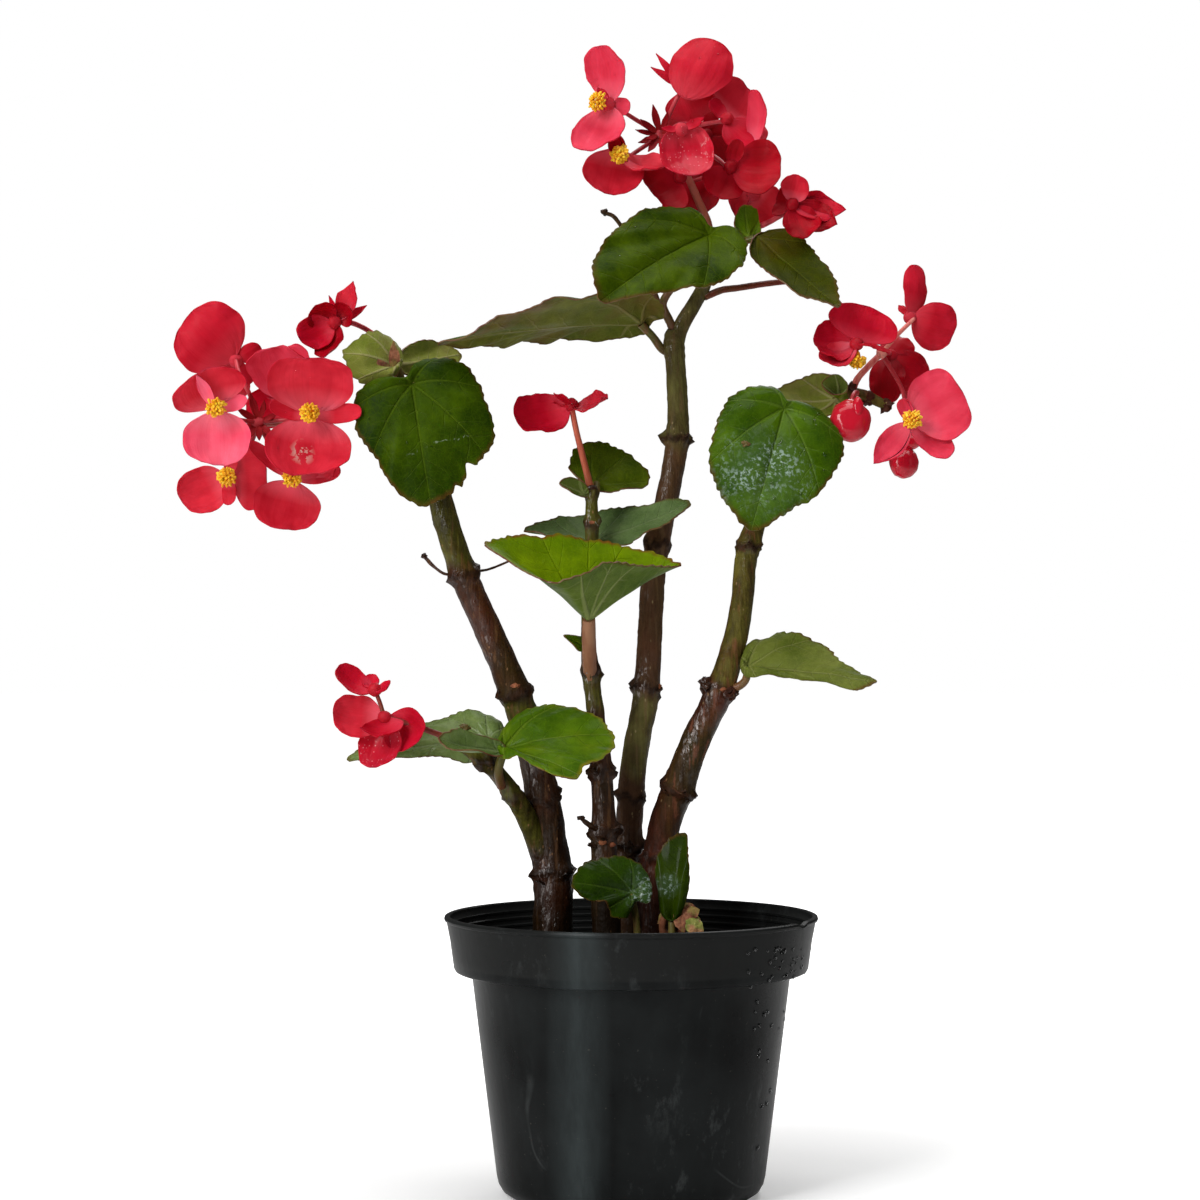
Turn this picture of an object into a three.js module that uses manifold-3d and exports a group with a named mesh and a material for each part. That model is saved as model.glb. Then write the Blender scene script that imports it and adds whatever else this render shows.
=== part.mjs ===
// A dragon-wing type begonia in a round nursery pot.
// Millimetres, +Z up. The origin is the centre of the pot's flat underside,
// -Y is the side that faces the eye and +X is to its right.
import * as THREE from 'three';
import { mergeVertices } from 'three/addons/utils/BufferGeometryUtils.js';
import Module from 'manifold-3d';

const wasm = await Module();
wasm.setup();

// The pot is a round 15 cm nursery pot with a deep rim band.
const POT_HEIGHT = 113;
const RIM_RADIUS = 75;
const LIP_OUT = 0.9;
const BAND_HEIGHT = 22.7;
const BAND_FOOT_RADIUS = 71.8;
const BODY_TOP_RADIUS = 64.7;
const BODY_FOOT_RADIUS = 54.5;
const BASE_RADIUS = 46.5;
const CORNER_HEIGHT = 8;
const WALL = 1.3;
const FLOOR = 1.8;
const DRAIN_HOLES = 6;
const DRAIN_RADIUS = 4;
const DRAIN_CIRCLE = 37;
const POT_SIDES = 28;

// Soil
const SOIL_LEVEL = 88;
const SOIL_RELIEF = 1.6;
const SOIL_SIDES = 16;

// Clearances and blade thicknesses
const GAP = 0.3;
const HOLE_FLOOR = 50;
const SCRAP = 0.5;
const BLADE = 0.8;
const TEPAL = 0.7;

// The canes lean apart in depth: what stands on the left leans towards the eye and
// what stands on the right and at the top leans away from it. The lean starts softly
// above the rim, and each point slides along its line of sight, so the front view stays.
const LEAN_SOFTNESS = 60;
const LEAN_BACK = 0.1;
const LEAN_TURN = 0.0013;
const EYE = [-12.6, -1320, 240.6];

// Flower parts
const RECEPTACLE = 2.8;
const STAMEN_BALL = 4.3;
const PEDICEL = 0.9;
const ROOT = 0.8;
const FULLNESS = 0.8;
const CLAW = 1.15;

// Colours
const BLACK_PLASTIC = { color: 0x1b1d1e, roughness: 0.42 };
const POTTING_SOIL = { color: 0x2d2018, roughness: 0.95 };
const BARK = { color: 0x4b3524, roughness: 0.5 };
const GREEN_WOOD = { color: 0x5b5a33, roughness: 0.5 };
const LEAF = { color: 0x2f5f1c, roughness: 0.4 };
const LEAF_UNDER = { color: 0x5d7a45, roughness: 0.55 };
const RED_STALK = { color: 0x9c3a35, roughness: 0.5 };
const CORAL = { color: 0xd93a4c, roughness: 0.5 };
const DEEP_RED = { color: 0xa60f26, roughness: 0.45 };
const YELLOW = { color: 0xe6b213, roughness: 0.6 };

const vec = (p) => new THREE.Vector3(p[0], p[1], p[2]);

// The same numbers on every run, between 0 and 1.
function seeded(seed) {
  let state = seed;
  return () => {
    state = (Math.imul(state, 1664525) + 1013904223) >>> 0;
    return state / 4294967296;
  };
}

function solidOf(geometry) {
  const bare = geometry.index ? geometry.toNonIndexed() : geometry.clone();
  bare.deleteAttribute('normal');
  bare.deleteAttribute('uv');
  const merged = mergeVertices(bare, 1e-3);
  return new wasm.Manifold(new wasm.Mesh({
    numProp: 3,
    vertProperties: merged.attributes.position.array,
    triVerts: new Uint32Array(merged.index.array),
  }));
}

function geometryOf(solid) {
  const mesh = solid.getMesh();
  const stride = mesh.numProp;
  const points = new Float32Array(mesh.numVert * 3);
  for (let i = 0; i < mesh.numVert; i++) {
    points.set(mesh.vertProperties.subarray(i * stride, i * stride + 3), i * 3);
  }
  const geometry = new THREE.BufferGeometry();
  geometry.setAttribute('position', new THREE.BufferAttribute(points, 3));
  geometry.setIndex(new THREE.BufferAttribute(new Uint32Array(mesh.triVerts), 1));
  const flat = geometry.toNonIndexed();
  flat.computeVertexNormals();
  return flat;
}

const fuse = (solids) => solids.reduce((whole, piece) => whole.add(piece));
const carve = (solid, tools) => tools.reduce((left, tool) => left.subtract(tool), solid);

// The one body of a solid, without the loose scraps that a cut can leave.
function oneBody(solid, name) {
  const bodies = solid.decompose().sort((a, b) => b.volume() - a.volume());
  if (bodies.length > 1 && bodies[1].volume() > SCRAP) {
    throw new Error(`${name} falls apart: ${bodies.map((b) => b.volume().toFixed(1))}`);
  }
  return bodies[0];
}

const plant = new THREE.Group();
plant.name = 'potted_begonia';

// Slides every point of a geometry along its line of sight, as said at the lean's sizes.
function lean(geometry) {
  const points = geometry.attributes.position;
  for (let i = 0; i < points.count; i++) {
    const [x, y, z] = [points.getX(i), points.getY(i), points.getZ(i)];
    const rise = Math.max(0, z - POT_HEIGHT);
    const shift = (rise * rise) / (rise + LEAN_SOFTNESS) * (LEAN_BACK + LEAN_TURN * x);
    const nearer = (y + shift - EYE[1]) / (y - EYE[1]);
    points.setXYZ(
      i, EYE[0] + (x - EYE[0]) * nearer, y + shift, EYE[2] + (z - EYE[2]) * nearer,
    );
  }
  return geometry;
}

function place(name, solid, look) {
  const mesh = new THREE.Mesh(
    lean(geometryOf(oneBody(solid, name))),
    new THREE.MeshStandardMaterial({ ...look, metalness: 0 }),
  );
  mesh.name = name;
  plant.add(mesh);
  return solid;
}

function ball(at, radius, squash = [1, 1, 1], detail = 0) {
  const geometry = new THREE.IcosahedronGeometry(radius, detail);
  geometry.scale(squash[0], squash[1], squash[2]);
  geometry.translate(at[0], at[1], at[2]);
  return solidOf(geometry);
}

function post(at, radius, bottom, top, sides = 16) {
  const geometry = new THREE.CylinderGeometry(radius, radius, top - bottom, sides, 1);
  geometry.rotateX(Math.PI / 2);
  geometry.translate(at[0], at[1], (top + bottom) / 2);
  return solidOf(geometry);
}

// The place along a curve, from 0 to 1, where it reaches a height.
function placeAtHeight(curve, height) {
  let low = 0;
  let high = 1;
  for (let i = 0; i < 24; i++) {
    const middle = (low + high) / 2;
    if (curve.getPoint(middle).z < height) low = middle;
    else high = middle;
  }
  return low;
}

// A cylinder bent along a path of [x, y, z, radius]. Each ring is a swollen leaf
// node at a height: a band of a few millimetres that stands out by its swell.
function stem(path, { sides = 8, rows = 1, rings = [], grow = 0 } = {}) {
  const curve = new THREE.CatmullRomCurve3(path.map(vec), false, 'centripetal');
  const spans = path.length - 1;
  const stations = [];
  for (let i = 0; i <= spans * rows; i++) stations.push({ t: i / (spans * rows), swell: 0 });
  for (const ring of rings) {
    const t = placeAtHeight(curve, ring.z);
    const span = curve.getPoint(Math.min(1, t + 0.005)).distanceTo(curve.getPoint(t)) / 0.005;
    const half = (ring.half ?? 2.2) / span;
    for (let i = stations.length - 1; i > 0; i--) {
      if (Math.abs(stations[i].t - t) < half * 1.3) stations.splice(i, 1);
    }
    stations.push({ t: t - half, swell: 0 });
    stations.push({ t, swell: ring.swell });
    stations.push({ t: t + half, swell: 0 });
  }
  const order = stations.filter((s) => s.t >= 0 && s.t <= 1).sort((a, b) => a.t - b.t);
  const turns = [];
  let normal = new THREE.Vector3(0.3, 1, 0.2);
  for (const { t, swell } of order) {
    const along = curve.getTangent(t);
    normal = normal.clone().addScaledVector(along, -normal.dot(along)).normalize();
    const place = Math.min(t * spans, spans - 1e-6);
    const k = Math.floor(place);
    const radius = THREE.MathUtils.lerp(path[k][3], path[k + 1][3], place - k);
    turns.push({
      at: curve.getPoint(t),
      normal,
      side: along.clone().cross(normal),
      radius: radius + swell + grow,
    });
  }
  const geometry = new THREE.CylinderGeometry(1, 1, 1, sides, turns.length - 1);
  const points = geometry.attributes.position;
  for (let i = 0; i < points.count; i++) {
    const turn = turns[Math.round((0.5 - points.getY(i)) * (turns.length - 1))];
    const spot = turn.at.clone()
      .addScaledVector(turn.normal, points.getX(i) * turn.radius)
      .addScaledVector(turn.side, points.getZ(i) * turn.radius);
    points.setXYZ(i, spot.x, spot.y, spot.z);
  }
  return solidOf(geometry);
}

// A disc of spokes and rings, given by a function of the spoke's angle and of the
// share of the way out, made a plate of even thickness. Both faces have the same
// triangles.
function plate(spokes, rings, spotAt, thickness) {
  const spots = [spotAt(0, 0)];
  for (let ring = 1; ring <= rings; ring++) {
    for (let i = 0; i < spokes; i++) spots.push(spotAt(i, ring / rings));
  }
  const at = (ring, i) => (ring === 0 ? 0 : 1 + (ring - 1) * spokes + (i % spokes));
  const faces = [];
  for (let i = 0; i < spokes; i++) {
    faces.push([0, at(1, i), at(1, i + 1)]);
    for (let ring = 1; ring < rings; ring++) {
      faces.push([at(ring, i), at(ring + 1, i), at(ring + 1, i + 1)]);
      faces.push([at(ring, i), at(ring + 1, i + 1), at(ring, i + 1)]);
    }
  }
  const normals = spots.map(() => new THREE.Vector3());
  for (const [a, b, c] of faces) {
    const one = spots[b].clone().sub(spots[a]);
    const two = spots[c].clone().sub(spots[a]);
    const across = one.cross(two);
    for (const corner of [a, b, c]) normals[corner].add(across);
  }
  normals.forEach((n) => n.normalize());
  const positions = [];
  for (const sign of [1, -1]) {
    spots.forEach((spot, i) => {
      const p = spot.clone().addScaledVector(normals[i], sign * thickness / 2);
      positions.push(p.x, p.y, p.z);
    });
  }
  const under = spots.length;
  const index = [];
  for (const [a, b, c] of faces) {
    index.push(a, b, c);
    index.push(under + a, under + c, under + b);
  }
  for (let i = 0; i < spokes; i++) {
    const a = at(rings, i);
    const b = at(rings, i + 1);
    index.push(a, under + a, under + b);
    index.push(a, under + b, b);
  }
  const geometry = new THREE.BufferGeometry();
  geometry.setAttribute('position', new THREE.Float32BufferAttribute(positions, 3));
  geometry.setIndex(index);
  return solidOf(geometry);
}

// A leaf blade spread from the head of its stalk to the points of its margin,
// the tip first. The belly lifts it between the stalk and the margin, and the
// margin is cut into teeth that wave up and down.
function blade(base, margin, options = {}) {
  const { belly = 3, spokes = 18, rings = 2, tooth = 0.025, wave = 0.7 } = options;
  const foot = vec(base);
  const edge = new THREE.CatmullRomCurve3(margin.map(vec), true, 'centripetal');
  const ends = [];
  for (let i = 0; i < spokes; i++) ends.push(edge.getPointAt(i / spokes));
  const up = new THREE.Vector3();
  ends.forEach((end, i) => {
    const next = ends[(i + 1) % spokes];
    up.add(end.clone().sub(foot).cross(next.clone().sub(foot)));
  });
  up.normalize();
  return plate(spokes, rings, (i, share) => {
    const sign = i % 2 === 0 ? 1 : -1;
    const reach = share * (1 + sign * tooth * (share === 1 ? 1 : 0));
    const lift = belly * 4 * share * (1 - share) + sign * wave * share * share;
    return foot.clone()
      .addScaledVector(ends[i].clone().sub(foot), reach)
      .addScaledVector(up, lift);
  }, BLADE);
}

// A leaf with its stalk, the stalk's foot cut clear of the cane it grows from.
function leaf(base, margin, stalk, cane, options = {}) {
  const pieces = [blade(base, margin, options)];
  if (stalk) pieces.push(stem(stalk, { sides: 5 }));
  const whole = fuse(pieces);
  return cane ? whole.subtract(cane) : whole;
}

// A sine or cosine drawn out towards 1, which makes an oval fuller, or in towards 0.
const fuller = (x, power = FULLNESS) => Math.sign(x) * Math.abs(x) ** power;

// A tepal from the heart of a flower to its tip: an oval plate, dished so that
// its edges rise towards its face.
function tepal(heart, [x, y, z, width, dish = 0.5], face, rings = 2) {
  const tip = new THREE.Vector3(x, y, z);
  const length = tip.length();
  const along = tip.clone().normalize();
  const up = vec(face);
  up.addScaledVector(along, -up.dot(along)).normalize();
  const across = up.clone().cross(along);
  const broad = width > 19;
  const spokes = broad ? 9 : width > 8 ? 7 : 6;
  return plate(spokes, broad ? rings : 1, (i, share) => {
    const turn = (i / spokes) * Math.PI * 2;
    const outer = Math.cos(turn) > 0;
    const far = ROOT + ((length - ROOT) / 2) * (1 + share * fuller(Math.cos(turn), outer ? FULLNESS : 1));
    const aside = (width / 2) * share * fuller(Math.sin(turn), outer ? FULLNESS : CLAW);
    const drop = (far * far) / length - far;
    const rise = dish * (drop + (aside * aside) / width);
    const wave = 0.5 * share * Math.sin(turn * 3 + length);
    return vec(heart)
      .addScaledVector(along, far)
      .addScaledVector(across, aside)
      .addScaledVector(up, rise + wave * (far / length));
  }, TEPAL);
}

// A flower: a round receptacle with its tepals, each given by its tip's offset
// from the heart and its width.
function flower({ heart, face, tepals, rings = 2 }) {
  const base = new THREE.OctahedronGeometry(RECEPTACLE);
  base.lookAt(vec(face));
  base.translate(heart[0], heart[1], heart[2]);
  const pieces = [solidOf(base)];
  const out = vec(face).normalize();
  for (const one of tepals) {
    const layer = one[3] > 9 ? -0.5 : 0.7;
    const root = vec(heart).addScaledVector(out, layer);
    pieces.push(tepal([root.x, root.y, root.z], one, one[5] ?? face, rings));
  }
  return fuse(pieces);
}

// A tuft of stamens, just clear of the receptacle that it stands before.
function stamens(heart, face) {
  const out = vec(face).normalize();
  const middle = vec(heart).addScaledVector(out, RECEPTACLE + GAP + STAMEN_BALL * 0.95);
  const geometry = new THREE.DodecahedronGeometry(STAMEN_BALL, 0);
  geometry.lookAt(out);
  const points = geometry.attributes.position;
  for (let i = 0; i < points.count; i++) {
    const spot = new THREE.Vector3().fromBufferAttribute(points, i);
    const knob = 0.5 + 0.5 * Math.sin(spot.x * 2.7 + spot.y * 3.9 + spot.z * 3.1);
    spot.multiplyScalar(0.84 + 0.16 * knob).add(middle);
    points.setXYZ(i, spot.x, spot.y, spot.z);
  }
  return solidOf(geometry);
}

// A flower stalk that ends just behind the receptacle it carries.
function pedicel(way, heart, face) {
  const back = vec(heart).addScaledVector(vec(face).normalize(), -(RECEPTACLE + GAP));
  const path = way.map(([x, y, z]) => [x, y, z, PEDICEL]);
  path.push([back.x, back.y, back.z, PEDICEL]);
  return stem(path, { sides: 4 });
}

// The pot: one turned shell with six drain holes in its floor.
const wallIn = (radius) => radius - WALL;
const bandFoot = POT_HEIGHT - BAND_HEIGHT;
const potProfile = [
  [0, 0],
  [BASE_RADIUS, 0],
  [BASE_RADIUS + 3.6, 0.9],
  [BODY_FOOT_RADIUS - 1.4, 3.6],
  [BODY_FOOT_RADIUS, CORNER_HEIGHT],
  [BODY_TOP_RADIUS, bandFoot - 0.6],
  [BAND_FOOT_RADIUS - 1.6, bandFoot],
  [BAND_FOOT_RADIUS, bandFoot + 1.4],
  [RIM_RADIUS, POT_HEIGHT - 2.2],
  [RIM_RADIUS + LIP_OUT, POT_HEIGHT - 1.2],
  [RIM_RADIUS + LIP_OUT * 0.6, POT_HEIGHT],
  [wallIn(RIM_RADIUS) + 0.2, POT_HEIGHT],
  [wallIn(BAND_FOOT_RADIUS), bandFoot + 2.6],
  [wallIn(BODY_TOP_RADIUS), bandFoot + 0.2],
  [wallIn(BODY_FOOT_RADIUS), CORNER_HEIGHT],
  [BASE_RADIUS - 0.4, FLOOR],
  [0, FLOOR],
].map(([r, z]) => new THREE.Vector2(r, z));
const potShell = new THREE.LatheGeometry(potProfile, POT_SIDES);
potShell.rotateX(Math.PI / 2);
const drains = [];
for (let i = 0; i < DRAIN_HOLES; i++) {
  const turn = ((i + 0.5) / DRAIN_HOLES) * Math.PI * 2;
  const spot = [DRAIN_CIRCLE * Math.cos(turn), DRAIN_CIRCLE * Math.sin(turn)];
  drains.push(post(spot, DRAIN_RADIUS, -1, FLOOR + 1, 8));
}
place('pot', carve(solidOf(potShell), drains), BLACK_PLASTIC);

// The canes. Each path starts in the soil: [x, y, z, radius].
const leftPath = [
  [-32, 0, 50.4, 7.6], [-32, 0, 70, 7.8], [-32, 0, 90, 8], [-32, 0, 108, 8],
  [-31.5, 0, 124, 8], [-33, 0, 140, 7.4], [-35, -1, 155, 7], [-38, -2, 172, 6.6],
  [-42, -4, 188, 6.3], [-48, -6, 206, 6], [-57, -8, 227, 5.7], [-67, -12, 250, 5.4],
  [-74, -14, 271, 5], [-80, -14, 294, 4.7], [-86, -14, 312, 4.5], [-92, -14, 329, 4.2],
];
const leftRings = [
  { z: 130, swell: 0.9 }, { z: 160, swell: 0.7 }, { z: 203, swell: 1 },
  { z: 251, swell: 0.8 }, { z: 273, swell: 0.5 }, { z: 322, swell: 0.6 },
];
const leftBranchPath = [
  [-33, 0, 132, 4.5], [-40, -5, 148, 4], [-46, -12, 160, 3.6], [-53, -16, 170, 3.2],
  [-60, -20, 178, 3.4], [-66, -22, 182, 2.8],
];
const leftBranchRings = [{ z: 163, swell: 0.5 }, { z: 177, swell: 0.9 }];

const centrePath = [
  [-10, -12, 50.4, 5.6], [-10, -12, 70, 5.7], [-10, -12, 90, 5.8], [-10, -12, 108, 5.8],
  [-11, -12, 128, 5.8], [-11, -12, 148, 5.3], [-12, -12, 172, 4.6], [-14, -13, 192, 4.2],
  [-16.5, -14, 213, 3.9], [-17.5, -14, 229, 3.6], [-17, -14, 245, 3.5], [-16, -14, 263, 3.3],
  [-16, -14, 285, 2.8],
];
const centreRings = [
  { z: 148, swell: 1 }, { z: 172, swell: 0.8 }, { z: 225, swell: 0.7 },
  { z: 271, swell: 0.6 }, { z: 283, swell: 0.5 },
];

const tallPath = [
  [0, 16, 50.4, 5.2], [0, 16, 70, 5.3], [0, 16, 90, 5.4], [0, 16, 108, 5.5],
  [-1, 15, 126, 5.5], [-1, 14, 141, 5.5], [0, 13, 159, 5.4], [2, 12, 179, 5.3],
  [6, 11, 200, 5.2], [7.5, 12, 220, 5.1], [8.5, 12, 241, 5], [10.5, 12, 261, 4.9],
  [15, 11, 283, 4.7], [19, 10, 306, 4.5], [19, 10, 326, 4.2], [17.5, 10, 346, 4],
];
const tallRings = [
  { z: 140, swell: 0.9 }, { z: 160, swell: 0.7 }, { z: 204, swell: 0.9 },
  { z: 263, swell: 0.8 }, { z: 306, swell: 1 },
];
const tallForkPath = [
  [17.5, 10, 342, 3.6], [20, 9.5, 351, 3.4], [25, 8, 360, 3], [30, 6, 369, 2.8],
  [32, 4, 378, 2.6], [33, 3, 387, 2.4],
];

const rightPath = [
  [9, -1, 50.4, 6], [9, -1, 70, 6.1], [9, -1, 90, 6.2], [9, -1, 108, 6.3],
  [10, 0, 124, 6.4], [11.5, 1, 137, 6.6], [14, 2, 150, 6.5], [19, 2, 164, 6.3],
  [26, 0, 183, 6], [35, -2, 202, 5.5], [42, -3, 224, 4.9], [45, -3, 241, 4.6],
  [47, -2, 260, 4.4], [51, 0, 273, 4], [57, 4, 291, 3.6], [67, 7, 309, 3.3],
  [77, 9, 319, 3], [86, 9, 324.5, 2.8], [95, 8, 324, 2.6], [104, 7, 320, 1.8],
];
const rightRings = [
  { z: 136, swell: 0.8 }, { z: 163, swell: 0.9 }, { z: 204, swell: 1 },
  { z: 262, swell: 0.9 }, { z: 310, swell: 0.6 },
];

const leftCane = (grow) => fuse([
  stem(leftPath, { sides: 7, rings: leftRings, grow }),
  stem(leftBranchPath, { sides: 6, rings: leftBranchRings, grow }),
]);
const centreCane = (grow) => fuse([
  stem(centrePath, { sides: 7, rings: centreRings, grow }),
  ball([-16, -14, 285], 3.2 + grow, [1, 1, 0.8], 0),
]);
const tallCane = (grow) => fuse([
  stem(tallPath, { sides: 7, rings: tallRings, grow }),
  stem(tallForkPath, { sides: 6, grow }),
  ball([17.5, 10, 346], 5 + grow, [1, 1, 0.9], 0),
]);
const rightCane = (grow) => fuse([
  stem(rightPath, { sides: 7, rings: rightRings, grow }),
  ball([97, 8, 323], 3.2 + grow, [1, 1, 1], 0),
  ball([104, 7, 320], 2.6 + grow, [1, 1, 1], 0),
]);

// Small growths that stay on their canes: hooked scale leaves, buds and dry twigs.
const dryTwig = stem([
  [-67, -8, 254, 0.9], [-75, 2, 251, 0.8], [-80, 5, 254, 0.7], [-84, 7, 258, 0.9],
], { sides: 5 });
const dryTwigRight = stem([
  [-66, -8, 253, 0.8], [-58, 0, 253, 0.6], [-51, 1, 255, 0.5],
], { sides: 5 });
const hook = stem([
  [-11, -13, 147, 1.6], [-16, -18, 150, 1.2], [-20, -20, 153, 0.6],
], { sides: 5 });
const scaleLeaf = blade([-18, -16, 221], [
  [-26, -22, 227], [-25, -21, 222], [-21, -18, 217], [-17, -15, 217], [-17, -15, 225],
  [-21, -19, 227],
], { spokes: 8, rings: 1, belly: 0, wave: 0.2 });
const youngLeaf = blade([-19, -17, 283], [
  [-29, -23, 286], [-25, -20, 289], [-19, -18, 286], [-17, -16, 282], [-24, -23, 281],
], { spokes: 8, rings: 1, belly: 0.5, wave: 0.3 });
const budLeaf = blade([86, 8, 325], [
  [79, 6, 334], [84, 5, 335], [88, 5, 331], [89, 7, 327], [84, 9, 325], [80, 8, 328],
], { spokes: 8, rings: 1, belly: 0, wave: 0.2 });

place('cane_left', fuse([leftCane(0), dryTwig, dryTwigRight]), BARK);
place('cane_centre', fuse([centreCane(0), hook, scaleLeaf, youngLeaf]), BARK);
place('cane_tall', tallCane(0), BARK);
place('cane_right', fuse([rightCane(0), budLeaf]), GREEN_WOOD);

const nearLeft = leftCane(GAP);
const nearCentre = centreCane(GAP);
const nearTall = tallCane(GAP);
const nearRight = rightCane(GAP);

// A reddish shoot that starts beside the canes, with a closed bud on it.
const SHOOT_SPOT = [27, -22];
place('shoot_basal', fuse([
  stem([
    [27, -22, 50.4, 2.6], [27, -22, 72, 2.8], [27, -22, 92, 3], [26, -22, 104, 3],
    [25, -22, 112, 2.6],
  ], { sides: 6 }),
  ball([26, -22, 112], 4.4, [1, 0.9, 1.25], 0),
  stem([[26, -22, 98, 2], [21, -20, 107, 2], [18, -19, 113, 1.8]], { sides: 5 }),
  ball([18, -19, 114], 2.2, [1, 1, 1.2], 0),
]), { color: 0x8f5a45, roughness: 0.6 });

// The leaves: the head of the stalk, the margin from the tip round, and the stalk's path.
place('leaf_left_front', leaf([-87, -33, 326], [
  [-79, -44, 278], [-69, -43, 284], [-63, -41, 291], [-57, -39, 298], [-54, -37, 307],
  [-58, -34, 320], [-66, -29, 333], [-78, -27, 337], [-86, -29, 334], [-89, -31, 329],
  [-93, -31, 328], [-101, -30, 328], [-109, -31, 322], [-108, -35, 308], [-101, -39, 297],
  [-92, -43, 283],
], [[-87, -33, 326, 1.6], [-88, -27, 328, 1.7], [-90, -20, 328, 1.8], [-92, -14, 326, 1.8]],
nearLeft, { belly: 4 }), LEAF);

place('leaves_left_young', fuse([
  blade([-95, -17, 334], [
    [-115, -22, 339], [-109, -18, 346], [-101, -14, 348], [-94, -13, 344], [-92, -16, 336],
    [-95, -20, 330], [-104, -24, 326], [-112, -24, 330],
  ], { spokes: 14, belly: -3 }),
  blade([-94, -15, 335], [
    [-69, 6, 341], [-71, 2, 335], [-81, -5, 331], [-90, -13, 331], [-95, -16, 335],
    [-92, -11, 341], [-85, -4, 346], [-76, 4, 345],
  ], { spokes: 12, rings: 2, belly: 2 }),
  stem([[-94.5, -16, 335, 1.9], [-92, -14, 326, 2]], { sides: 5 }),
]).subtract(nearLeft), LEAF_UNDER);

place('leaf_tall_long', leaf([4, 5, 353], [
  [-76, -34, 341], [-67, -39, 344], [-52, -43, 351], [-32, -43, 358], [-13, -36, 361],
  [4, -20, 364], [13, -8, 360], [14, 0, 355], [9, 4, 353], [4, 12, 349],
  [-13, 22, 348], [-35, 12, 346], [-57, -14, 342],
], [[4, 5, 353, 1.7], [9, 8, 348, 1.7], [13, 10, 343, 1.8], [18, 10, 341, 1.8]],
nearTall, { belly: 3, spokes: 18 }), LEAF_UNDER);

place('leaf_top_front', leaf([31, -13, 387], [
  [-12, -48, 358], [-15, -46, 366], [-15, -40, 374], [-10, -34, 383], [0, -24, 393],
  [13, -16, 398], [25, -12, 397], [29, -11, 391], [33, -12, 389], [41, -16, 389],
  [46, -20, 382], [44, -28, 374], [36, -34, 366], [23, -40, 363], [5, -46, 360],
], [[31, -13, 387, 1.6], [28, -6, 378, 1.6], [18, 0, 369, 1.6], [13, 4, 361, 1.7],
  [16, 8, 354, 1.7], [18, 10, 349, 1.8]],
nearTall, { belly: -3.5 }), LEAF);

place('leaves_top_right', fuse([
  blade([51, -4, 388], [
    [83, -26, 357], [73, -27, 359], [61, -25, 366], [53, -19, 373], [48, -11, 380],
    [49, -6, 386], [57, 0, 392], [67, -4, 389], [76, -12, 378], [82, -20, 366],
  ], { spokes: 16, belly: 1 }),
  blade([48, -3, 388], [
    [46, 0, 401], [51, 2, 399], [53, 0, 391], [51, -4, 386], [46, -4, 385], [43, -3, 389],
    [42, -1, 396],
  ], { spokes: 10, rings: 2, belly: 1.5 }),
  stem([[50, -4, 387, 1.5], [42, 0, 385, 1.6], [33, 3, 384, 1.8]], { sides: 5 }),
]).subtract(nearTall), LEAF);

place('leaf_right_front', leaf([61, -21, 317], [
  [47, -34, 268], [54, -34, 270], [64, -32, 277], [77, -28, 286], [84, -24, 298],
  [82, -21, 308], [74, -19, 317], [67, -19, 320], [62, -20, 320], [58, -19, 325],
  [50, -19, 326], [41, -21, 322], [33, -26, 310], [31, -30, 294], [36, -34, 280],
  [43, -35, 271],
], [[61, -21, 317, 1.7], [62, -14, 317, 1.8], [64, -4, 313, 1.8], [66, 6, 308, 1.9]],
nearRight, { belly: 4 }), LEAF);

place('leaf_right_back', leaf([83, 2, 322], [
  [57, 0, 322], [62, 4, 328], [74, 4, 332], [84, -1, 330], [88, -3, 324],
  [85, -4, 317], [72, -6, 315], [62, -4, 317],
], [[83, 2, 322, 1.4], [84, 9, 323, 1.5]],
nearRight, { belly: 2, spokes: 14 }), LEAF_UNDER);

place('leaf_right_low', leaf([47, -8, 213], [
  [97, -30, 207], [90, -31, 205], [80, -27, 207], [67, -21, 209], [55, -16, 210],
  [47, -12, 210], [44, -8, 214], [49, -2, 223], [62, -2, 227], [74, -8, 224],
  [86, -19, 215],
], [[47, -8, 213, 1.5], [46, -7, 208, 1.6], [42, -5, 205, 1.7], [36, -2, 204, 1.8]],
nearRight, { belly: -2.5 }), LEAF_UNDER);

place('leaf_centre_cupped', leaf([-17, -30, 232], [
  [20, -26, 255], [7, -40, 254], [-8, -52, 255], [-20, -58, 251], [-31, -60, 247],
  [-44, -56, 253], [-52, -48, 258], [-58, -38, 263], [-44, -27, 266], [-21, -23, 265],
  [3, -23, 260],
], [[-17, -30, 232, 1.6], [-18, -28, 224, 1.6], [-19, -23, 216, 1.7], [-17, -14, 210, 1.8]],
nearCentre, { belly: -2.5, wave: 0.5 }), LEAF);

place('leaf_centre_back', leaf([-14, -7, 265], [
  [24, -3, 280], [8, 1, 280], [-5, 6, 278], [-19, 8, 275], [-32, 4, 273],
  [-44, -2, 270], [-34, -7, 266], [-23, -8, 263], [-8, -9, 262], [10, -9, 269],
], [[-14, -7, 265, 1.4], [-14, -9, 260, 1.5], [-16, -14, 256, 1.6]],
nearCentre, { belly: -1.5, spokes: 20 }), LEAF_UNDER);

place('leaf_centre_upper', leaf([-14, -9, 288], [
  [8, 4, 289], [0, -3, 285], [-11, -9, 284], [-17, -9, 287], [-24, -6, 292],
  [-23, 0, 302], [-12, 5, 305], [0, 8, 300],
], [[-14, -9, 288, 1.3], [-14, -11, 284, 1.4], [-16, -14, 279, 1.5]],
nearCentre, { belly: 1.5, spokes: 14 }), LEAF);

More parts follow.
